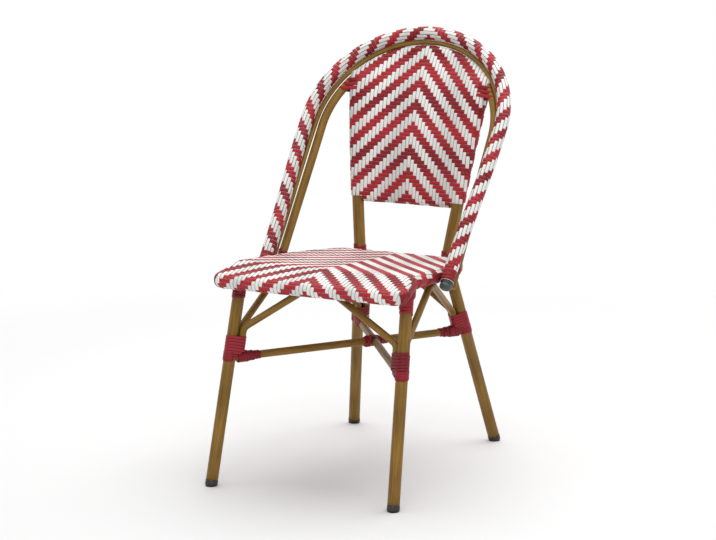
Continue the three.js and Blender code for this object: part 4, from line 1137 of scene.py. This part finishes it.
def wrap_way(m):
    """Way from the hoop's top to a wrap; the wraps sit closer or wider round the top bend"""
    word = "left" if m < 0 else "right"
    top = min(abs(m), SLEEVE_TOP_WRAPS)
    way = top * SLEEVE_TOP_PITCHES[word] + (abs(m) - top) * SLEEVE_PITCHES[word]
    return copysign(way, m)


def wrap_count(word):
    top = SLEEVE_TOP_WRAPS * SLEEVE_TOP_PITCHES[word]
    return SLEEVE_TOP_WRAPS + int((SLEEVE_HALF - top) / SLEEVE_PITCHES[word])


def sleeve_station(frame_there, k, lift, overrun=0):
    """Strand k is counted round the tube, from its front towards the hoop's outside"""
    here, run, side, front = frame_there
    away = swung(front, side, k / SLEEVE_STRANDS * tau)
    return here + run * overrun + away * (SLEEVE_LAYER_RADIUS + lift), away


def crossing_stations(m, k, lift, along):
    """The two stations of a strand at a crossing of wrap m, counted from the top, and strand k"""
    for shift in (-CROSSING_SHARE, CROSSING_SHARE):
        wrap, strand = (m + shift, k) if along else (m, k + shift)
        way = SLEEVE_HALF - wrap_way(wrap)
        yield sleeve_station(frame_at(SLEEVE_WAYS, SLEEVE_FRAMES, way), strand, lift)


def build_sleeve():
    first, last = -wrap_count("left"), wrap_count("right")

    def wrap_lift(m, k):
        at_end = m < first + SLEEVE_END_WRAPS or m > last - SLEEVE_END_WRAPS
        return STRAND_LIFT if at_end or over(k - TIP_WEFT, m) else -STRAND_LIFT

    bm = bmesh.new()
    width = SLEEVE_PITCHES["right"] * STRAND_FILL_SHARE
    for m in range(first, last + 1):
        stations = []
        for k in range(SLEEVE_STRANDS):
            stations += crossing_stations(m, k, wrap_lift(m, k), False)
        strand_mesh(bm, stations, width, STRAND_THICKNESS, shade_of(m), True)
    new_piece("hoop_wraps", bm, RED, ["hoop_weave"])
    bm = bmesh.new()
    width = tau * SLEEVE_LAYER_RADIUS / SLEEVE_STRANDS * STRAND_FILL_SHARE
    for k in range(SLEEVE_STRANDS):
        stations = [sleeve_station(SLEEVE_FRAMES[-1], k, 0, SLEEVE_END_OVERRUN)]
        for m in range(first, last + 1):
            stations += crossing_stations(m, k, -wrap_lift(m, k), True)
        stations.append(sleeve_station(SLEEVE_FRAMES[0], k, 0, -SLEEVE_END_OVERRUN))
        strand_mesh(bm, stations, width, STRAND_THICKNESS, shade_of(k))
    new_piece("hoop_lengthwise_strands", bm, WHITE, ["hoop_weave"])


# Lashings


def layer_lift(layer):
    """Height of the middle of a layer of turns over its tube"""
    return LASHING_THICKNESS * (layer + 0.5)


def lash(bm, stations, tint_value, closed=False):
    strand_mesh(bm, stations, LASHING_WIDTH, LASHING_THICKNESS, tint_value, closed)


def lashing_piece(name, bm, *replaced):
    new_piece(name, bm, LASHING, replaced)


def winding(bm, start, end, tubes_at, facing, layer=0):
    """A strand wound evenly from start to end round the bundle tubes_at(share of the way)"""
    run = (end - start).normalized()
    steps = round((end - start).length / LASHING_PITCH * TURN_STEPS)
    stations = []
    for i in range(steps + 1):
        share = i / steps
        angle = i / TURN_STEPS * tau
        here = start.lerp(end, share)
        stations.append(bundle_station(here, run, facing, angle, tubes_at(share), layer_lift(layer)))
    lash(bm, stations, (sin(start.x) + 1) / 2)


def round_tube(radius):
    return lambda share: [(Vector(), radius)]


def stretcher_joint(front, side):
    """Where a stretcher meets its leg, and its run from there to the crossing"""
    joint = leg_at(front, side, STRETCHER_HEIGHT)
    return joint, (CROSSING - joint).normalized()


def saddle(bm, turn, spot, run, rising, leg_layer):
    """A closed turn round a leg at one place and over or under its stretcher at another"""
    across = Z_AXIS.cross(run).normalized()
    stations = []
    for i in range(-SADDLE_LEG_STEPS, SADDLE_LEG_STEPS + 1):
        away = swung(run, across, pi + i / SADDLE_LEG_STEPS * SADDLE_LEG_ANGLE)
        stations.append((turn + away * (LEG_RADIUS + layer_lift(leg_layer)), away))
    for i in range(SADDLE_STRETCHER_STEPS + 1):
        away = swung(Z_AXIS * rising, -across, (i / SADDLE_STRETCHER_STEPS - 0.5) * pi)
        stations.append((spot + away * (STRETCHER_RADIUS + layer_lift(1)), away))
    lash(bm, stations, 0.5 + rising / 4, True)


def leg_lashing(name, front, side):
    """Turns round the leg and the bows' ends, then slanting ones that catch the stretcher"""
    bm = bmesh.new()
    bows = [bow_away(kind, front, side) for kind in BOW_ANGLES]
    top = LEG_LASHING_TOP if front else LEG_LASHING_TOP - REAR_LASHING_STEP

    def tubes_at(share):
        height = top + (LEG_LASHING_BOTTOM - top) * share
        kept = min(max((height - BOW_BINDING_END) / (BOW_END_HEIGHT - BOW_BINDING_END), 0), 1)
        return [(Vector(), LEG_RADIUS)] + [(away * kept, BOW_RADIUS) for away in bows]

    high, low = leg_at(front, side, top), leg_at(front, side, LEG_LASHING_BOTTOM)
    winding(bm, high, low, tubes_at, X_AXIS * side)
    joint, inwards = stretcher_joint(front, side)
    for i in range(SADDLES):
        height = STRETCHER_HEIGHT - SADDLE_DROP + i * LASHING_PITCH * SADDLE_PITCH_SHARE
        for rising, rise, reach, reach_step, leg_layer in SADDLE_TURNS:
            spot = joint + inwards * (reach + i * reach_step)
            saddle(bm, leg_at(front, side, height + rise), spot, inwards, rising, leg_layer)
    lashing_piece(f"leg_lashing_strands_{name}", bm, f"leg_lashing_{name}")


def layered_winding(bm, start, run, layers):
    """Layers of turns round a stretcher, each shorter than the one below it"""
    for layer, (near, far) in enumerate(layers):
        ends = (start + run * near, start + run * far)
        winding(bm, *ends, round_tube(STRETCHER_RADIUS), Z_AXIS, layer)


def stretcher_lashing(name, front, side):
    bm = bmesh.new()
    layered_winding(bm, *stretcher_joint(front, side), STRETCHER_LASHING_LAYERS)
    lashing_piece(f"stretcher_lashing_strands_{name}", bm, f"stretcher_lashing_{name}")


def crossing_lashing():
    """Turns round the long stretcher beside its crossing, and three over the crossing itself"""
    bm = bmesh.new()
    through = (ENDS["rear_right"] - ENDS["front_left"]).normalized()
    other = (ENDS["rear_left"] - ENDS["front_right"]).normalized()
    layered_winding(bm, CROSSING, -through, CROSSING_FRONT_LAYERS)
    layered_winding(bm, CROSSING, through, CROSSING_REAR_LAYERS)
    ahead = (through - other).normalized()
    across = Z_AXIS.cross(ahead)
    half_angle = acos(min(abs(ahead.dot(through)), 1))
    high = STRETCHER_RADIUS + layer_lift(1)
    for beside in (-LASHING_WIDTH, 0, LASHING_WIDTH):
        long = (high + abs(beside) * cos(half_angle)) / sin(half_angle)
        stations = []
        for i in range(CROSSING_STEPS):
            angle = i / CROSSING_STEPS * tau
            away = swung(ahead * long, Z_AXIS * high, angle)
            normal = swung(ahead / long, Z_AXIS / high, angle).normalized()
            stations.append((CROSSING + across * beside + away, normal))
        lash(bm, stations, 0.5, True)
    replaced = ("crossing_lashing_front", "crossing_lashing_rear")
    lashing_piece("crossing_lashing_strands", bm, *replaced)


def corner_lashing(bm, side):
    """Slanting strands over the outside of the seat's front corner, down to the leg's top"""
    right = [i for i, p in enumerate(SEAT_RING) if p.x > CORNER_LEAST_SPREAD]
    first, last = (min(right, key=lambda i: abs(SEAT_RING[i].y + y)) for y in CORNER_REACHES)
    path = frames_along(sided(SEAT_RING, side), repeat(Z_AXIS), True)[first : last + 1]
    ways = ways_along([here for here, *_ in path])
    count = int(ways[-1] / LASHING_PITCH)
    for k in range(count + 1):
        stations = []
        for i in range(SLANT_STEPS + 1):
            share = i / SLANT_STEPS
            way = ways[-1] * k / count - CORNER_SLANT * share
            if way < -LASHING_PITCH:
                break
            here, _, across, up = frame_at(ways, path, way)
            out = across if across.x * side > 0 else -across
            toward = swung(up, out, radians(CORNER_ROLL_START + CORNER_ROLL * share))
            stations.append((here + toward * (SEAT_ROLL_RADIUS + layer_lift(0)), toward))
        lash(bm, stations, k / count)


def top_lashing(word, side):
    """Turns round a front leg's top, and slanting turns that come down from the side rail"""
    bm = bmesh.new()
    low = leg_at(FRONT, side, FRONT_TOP.z - TOP_LASHING_DROP)
    high = leg_at(FRONT, side, FRONT_TOP.z - RING_RADIUS - TOP_LASHING_GAP)
    winding(bm, low, high, round_tube(LEG_RADIUS), X_AXIS * side)
    corner_lashing(bm, side)
    for i in range(TOP_STRANDS):
        stations = []
        for j in range(SLANT_STEPS + 1):
            share = j / SLANT_STEPS
            angle = radians(TOP_STRAND_START + TOP_STRAND_TURN * share)
            drop = TOP_STRAND_DROP + i * LASHING_PITCH + TOP_STRAND_SLANT * share
            toward = swung(X_AXIS * side, -Y_AXIS, angle)
            radius = LEG_RADIUS + layer_lift(1) + TOP_STRAND_FLARE * (1 - share) ** 2
            stations.append((leg_at(FRONT, side, FRONT_TOP.z - drop) + toward * radius, toward))
        lash(bm, stations, i / 2)
    lashing_piece(f"leg_top_strands_{word}", bm, f"leg_top_lashing_{word}")


def foot_lashing(kind, word, route, radius, height):
    """Turns round the foot of a post or of the inner hoop, down in the edge of the seat"""
    bm = bmesh.new()
    run = run_at(route, next(i for i, p in enumerate(route) if p.z > height))
    low = at_height(route, height)
    high = low + run * FOOT_LASHING_TURNS * LASHING_PITCH
    winding(bm, low, high, round_tube(radius), -Y_AXIS)
    lashing_piece(f"{kind}_strands_{word}", bm, f"{kind}_lashing_{word}")


def build_lashings():
    for name, corner in CORNERS.items():
        leg_lashing(name, *corner)
        stretcher_lashing(name, *corner)
    crossing_lashing()
    hoop_height = ring_height(INNER_HOOP_FOOT_REACH) + HOOP_LASHING_RISE
    for word, side in SIDES.items():
        top_lashing(word, side)
        foot_lashing("post", word, sided(REAR_ROUTE, side), LEG_RADIUS, POST_LASHING_HEIGHT)
        foot_lashing("hoop", word, sided(INNER_ROUTE, side), INNER_HOOP_TUBE_RADIUS, hoop_height)


# Tacks, glides and plugs


def turned(place, axis):
    """The matrix that sets a piece's own upright axis along another, at a place"""
    return Matrix.Translation(placed(place)) @ axis.to_track_quat("Z", "Y").to_matrix().to_4x4()


def tack(bm, centre, away):
    dome = Matrix.Diagonal((TACK_RADIUS * MM, TACK_RADIUS * MM, TACK_RISE * MM, 1))
    where = turned(centre, away) @ dome
    bmesh.ops.create_uvsphere(bm, u_segments=TACK_SEGMENTS, v_segments=TACK_RINGS, radius=1, matrix=where)


def build_tacks():
    """Tacks that hold the strands' ends on the legs and the stretchers"""
    bm = bmesh.new()
    for front, side in CORNERS.values():
        joint, inwards = stretcher_joint(front, side)
        across = Z_AXIS.cross(inwards)
        for reach, facing, layers in TACK_SPOTS:
            away = across * facing if across.y < 0 else across * -facing
            radius = STRETCHER_RADIUS + LASHING_THICKNESS * layers
            tack(bm, joint + inwards * reach + away * radius, away)
        out = bow_away("cross", front, side)
        reach = out.length + BOW_RADIUS + LASHING_THICKNESS
        spot = leg_at(front, side, BOW_END_HEIGHT - BOW_TACK_DROP) + out.normalized() * reach
        tack(bm, spot, out)
    new_piece("lashing_tacks", bm, TACK)


def spun(bm, profile, start, axis):
    """Spins a profile of (radius, way along the axis) round the axis"""
    where = turned(start, axis)
    points = [bm.verts.new(where @ Vector((r * MM, 0, way * MM))) for r, way in profile]
    edges = [bm.edges.new(pair) for pair in zip(points, points[1:])]
    bmesh.ops.spin(
        bm,
        geom=points + edges,
        cent=placed(start),
        axis=axis,
        angle=tau,
        steps=SPIN_STEPS,
        use_merge=True,
    )
    bmesh.ops.remove_doubles(bm, verts=bm.verts, dist=WELD_DISTANCE * MM)


def build_glides():
    """Cups that follow the splayed legs, their soles cut level with the floor"""
    rim, sole = GLIDE_RIM_RADIUS, GLIDE_SOLE_RADIUS
    for name, corner in CORNERS.items():
        bm = bmesh.new()
        seam, foot = leg_at(*corner, GLIDE_SEAM_HEIGHT), leg_at(*corner, 0)
        length = (seam - foot).length
        profile = [(0, 0)] + [(rim - inset, way) for inset, way in GLIDE_RIM_EDGE]
        for i in range(GLIDE_ROUNDING_STEPS + 1):
            angle = i / GLIDE_ROUNDING_STEPS * pi / 2
            way = length - GLIDE_ROUNDING * (1 - sin(angle))
            profile.append((sole + (rim - sole) * cos(angle), way))
        profile += [(sole, length + GLIDE_OVERRUN), (0, length + GLIDE_OVERRUN)]
        spun(bm, profile, seam, (foot - seam).normalized())
        geometry = bm.verts[:] + bm.edges[:] + bm.faces[:]
        down = (0, 0, -1)
        bmesh.ops.bisect_plane(bm, geom=geometry, plane_co=(0, 0, 0), plane_no=down, clear_outer=True)
        new_piece(f"glide_{name}", bm, GLIDE, [f"foot_glide_{name}"])


def disc(radius, start, end):
    return [(0, start), (radius, start), (radius, end), (0, end)]


def build_plugs():
    """Collar, groove and domed cap in the lower ends of the outer hoop, and two black rings of painted
    shade: one fills the groove, one sits just under the sleeve's end
    """
    rim = PLUG_RADIUS
    groove = FIT_GAP + PLUG_COLLAR
    cap = groove + PLUG_GROOVE_WIDTH
    end = cap + PLUG_CAP
    body = [
        (0, FIT_GAP),
        (rim, FIT_GAP),
        (rim, groove - PLUG_CHAMFER),
        (rim - PLUG_CHAMFER, groove),
        (rim - PLUG_GROOVE_DEPTH, groove),
        (rim - PLUG_GROOVE_DEPTH, cap),
        (rim - PLUG_CHAMFER, cap),
        (rim, cap + PLUG_CHAMFER),
        (rim, end - PLUG_CAP_ROUNDING),
        (rim - PLUG_CAP_INSET, end),
    ]
    body += [(rim * across, end + PLUG_DOME * high) for across, high in PLUG_DOME_SHARES]
    # Painted shade: a black ring in the groove, and a black ring just under the sleeve's end, where the
    # plug lies in shadow
    groove_shade_ring = disc(PLUG_GROOVE_SHADE_RADIUS, groove - PLUG_GROOVE_SHADE_OVERLAP, cap + PLUG_GROOVE_SHADE_OVERLAP)
    edge = disc(PLUG_RIM_SHADE_RADIUS, PLUG_RIM_SHADE_START, PLUG_RIM_SHADE_START + PLUG_RIM_SHADE_WIDTH)
    for word, side in SIDES.items():
        foot, above = sided(OUTER_ROUTE[:2], side)
        down = (foot - above).normalized()
        bm = bmesh.new()
        spun(bm, body, foot, down)
        new_piece(f"plug_{word}", bm, PLUG, [f"hoop_plug_{word}"])
        # The painted-shade rings, made in the black glide plastic
        bm = bmesh.new()
        spun(bm, groove_shade_ring, foot, down)
        spun(bm, edge, foot, down)
        new_piece(f"plug_painted_shade_{word}", bm, GLIDE)


build_tubes()
build_stretchers()
build_back()
build_corner_wefts()
build_seat()
build_sleeve()
build_lashings()
build_tacks()
build_glides()
build_plugs()

# Stage


def build_camera():
    data = bpy.data.cameras.new("camera")
    data.sensor_fit = "HORIZONTAL"
    data.sensor_width = SENSOR_WIDTH
    data.lens = FOCAL_PIXELS / IMAGE_WIDTH * SENSOR_WIDTH
    data.clip_end = CAMERA_RANGE
    camera = add_object("camera", data)
    camera.location = CAMERA_PLACE
    camera.rotation_euler = (radians(90 - CAMERA_PITCH), 0, radians(CAMERA_AZIMUTH))
    bpy.context.scene.camera = camera


def seen_directly(material):
    """1 for rays from the camera, a mirror or glass, and 0 for the light that falls on the object"""
    rays = add_node(material, "LightPath").outputs
    seen = rays["Is Camera Ray"]
    settings = {"operation": "ADD", "use_clamp": True}
    for name in ("Is Glossy Ray", "Is Transmission Ray"):
        both = add_node(material, "Math", settings, {0: seen, 1: rays[name]})
        seen = both.outputs[0]
    return seen


def floor_material():
    """A matt white paper floor that shows plain white away from the object"""
    material, shader = new_material("white_floor", Roughness=1, Specular_IOR_Level=0)
    shader.inputs["Base Color"].default_value = linear(FLOOR_WHITE)
    place = add_node(material, "TexCoord").outputs["Object"]
    length = add_node(material, "VectorMath", {"operation": "LENGTH"}, {0: place})
    fade = {"interpolation_type": "SMOOTHSTEP", "From Min": FLOOR_NEAR, "From Max": FLOOR_FAR}
    far = add_node(material, "MapRange", fade, {"Value": length.outputs["Value"]})
    links = {0: far.outputs[0], 1: seen_directly(material)}
    share = add_node(material, "Math", {"operation": "MULTIPLY"}, links)
    glow = add_node(material, "Emission", {"Color": (1, 1, 1, 1), "Strength": 1})
    links = {0: share.outputs[0], 1: shader.outputs[0], 2: glow.outputs[0]}
    mixed = add_node(material, "MixShader", links=links)
    output = material.node_tree.nodes["Material Output"]
    material.node_tree.links.new(mixed.outputs[0], output.inputs["Surface"])
    return material


def build_floor():
    bm = bmesh.new()
    bmesh.ops.create_grid(bm, x_segments=1, y_segments=1, size=FLOOR_HALF_SIZE)
    studio_floor = mesh_object("floor", bm, floor_material())
    studio_floor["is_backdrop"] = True


def build_lights():
    world = bpy.data.worlds.new("studio")
    bpy.context.scene.world = world
    world.use_nodes = True
    background = world.node_tree.nodes["Background"]
    background.inputs["Color"].default_value = (1, 1, 1, 1)
    span = {"To Min": WORLD_STRENGTH, "To Max": 1.0}
    strength = add_node(world, "MapRange", span, {"Value": seen_directly(world)})
    world.node_tree.links.new(strength.outputs[0], background.inputs["Strength"])
    for name, (where, size, power) in LAMPS.items():
        data = bpy.data.lights.new(name, "AREA")
        data.energy = power
        data.size = size
        lamp = add_object(name, data)
        lamp.location = where
        aim = LAMP_AIM - Vector(where)
        lamp.rotation_euler = aim.to_track_quat("-Z", "Y").to_euler()
    bpy.context.scene.view_settings.view_transform = "Standard"


build_camera()
build_floor()
build_lights()

for low, high in (cad_box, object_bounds()):
    json.dumps([list(low), list(high)]) + "\n"
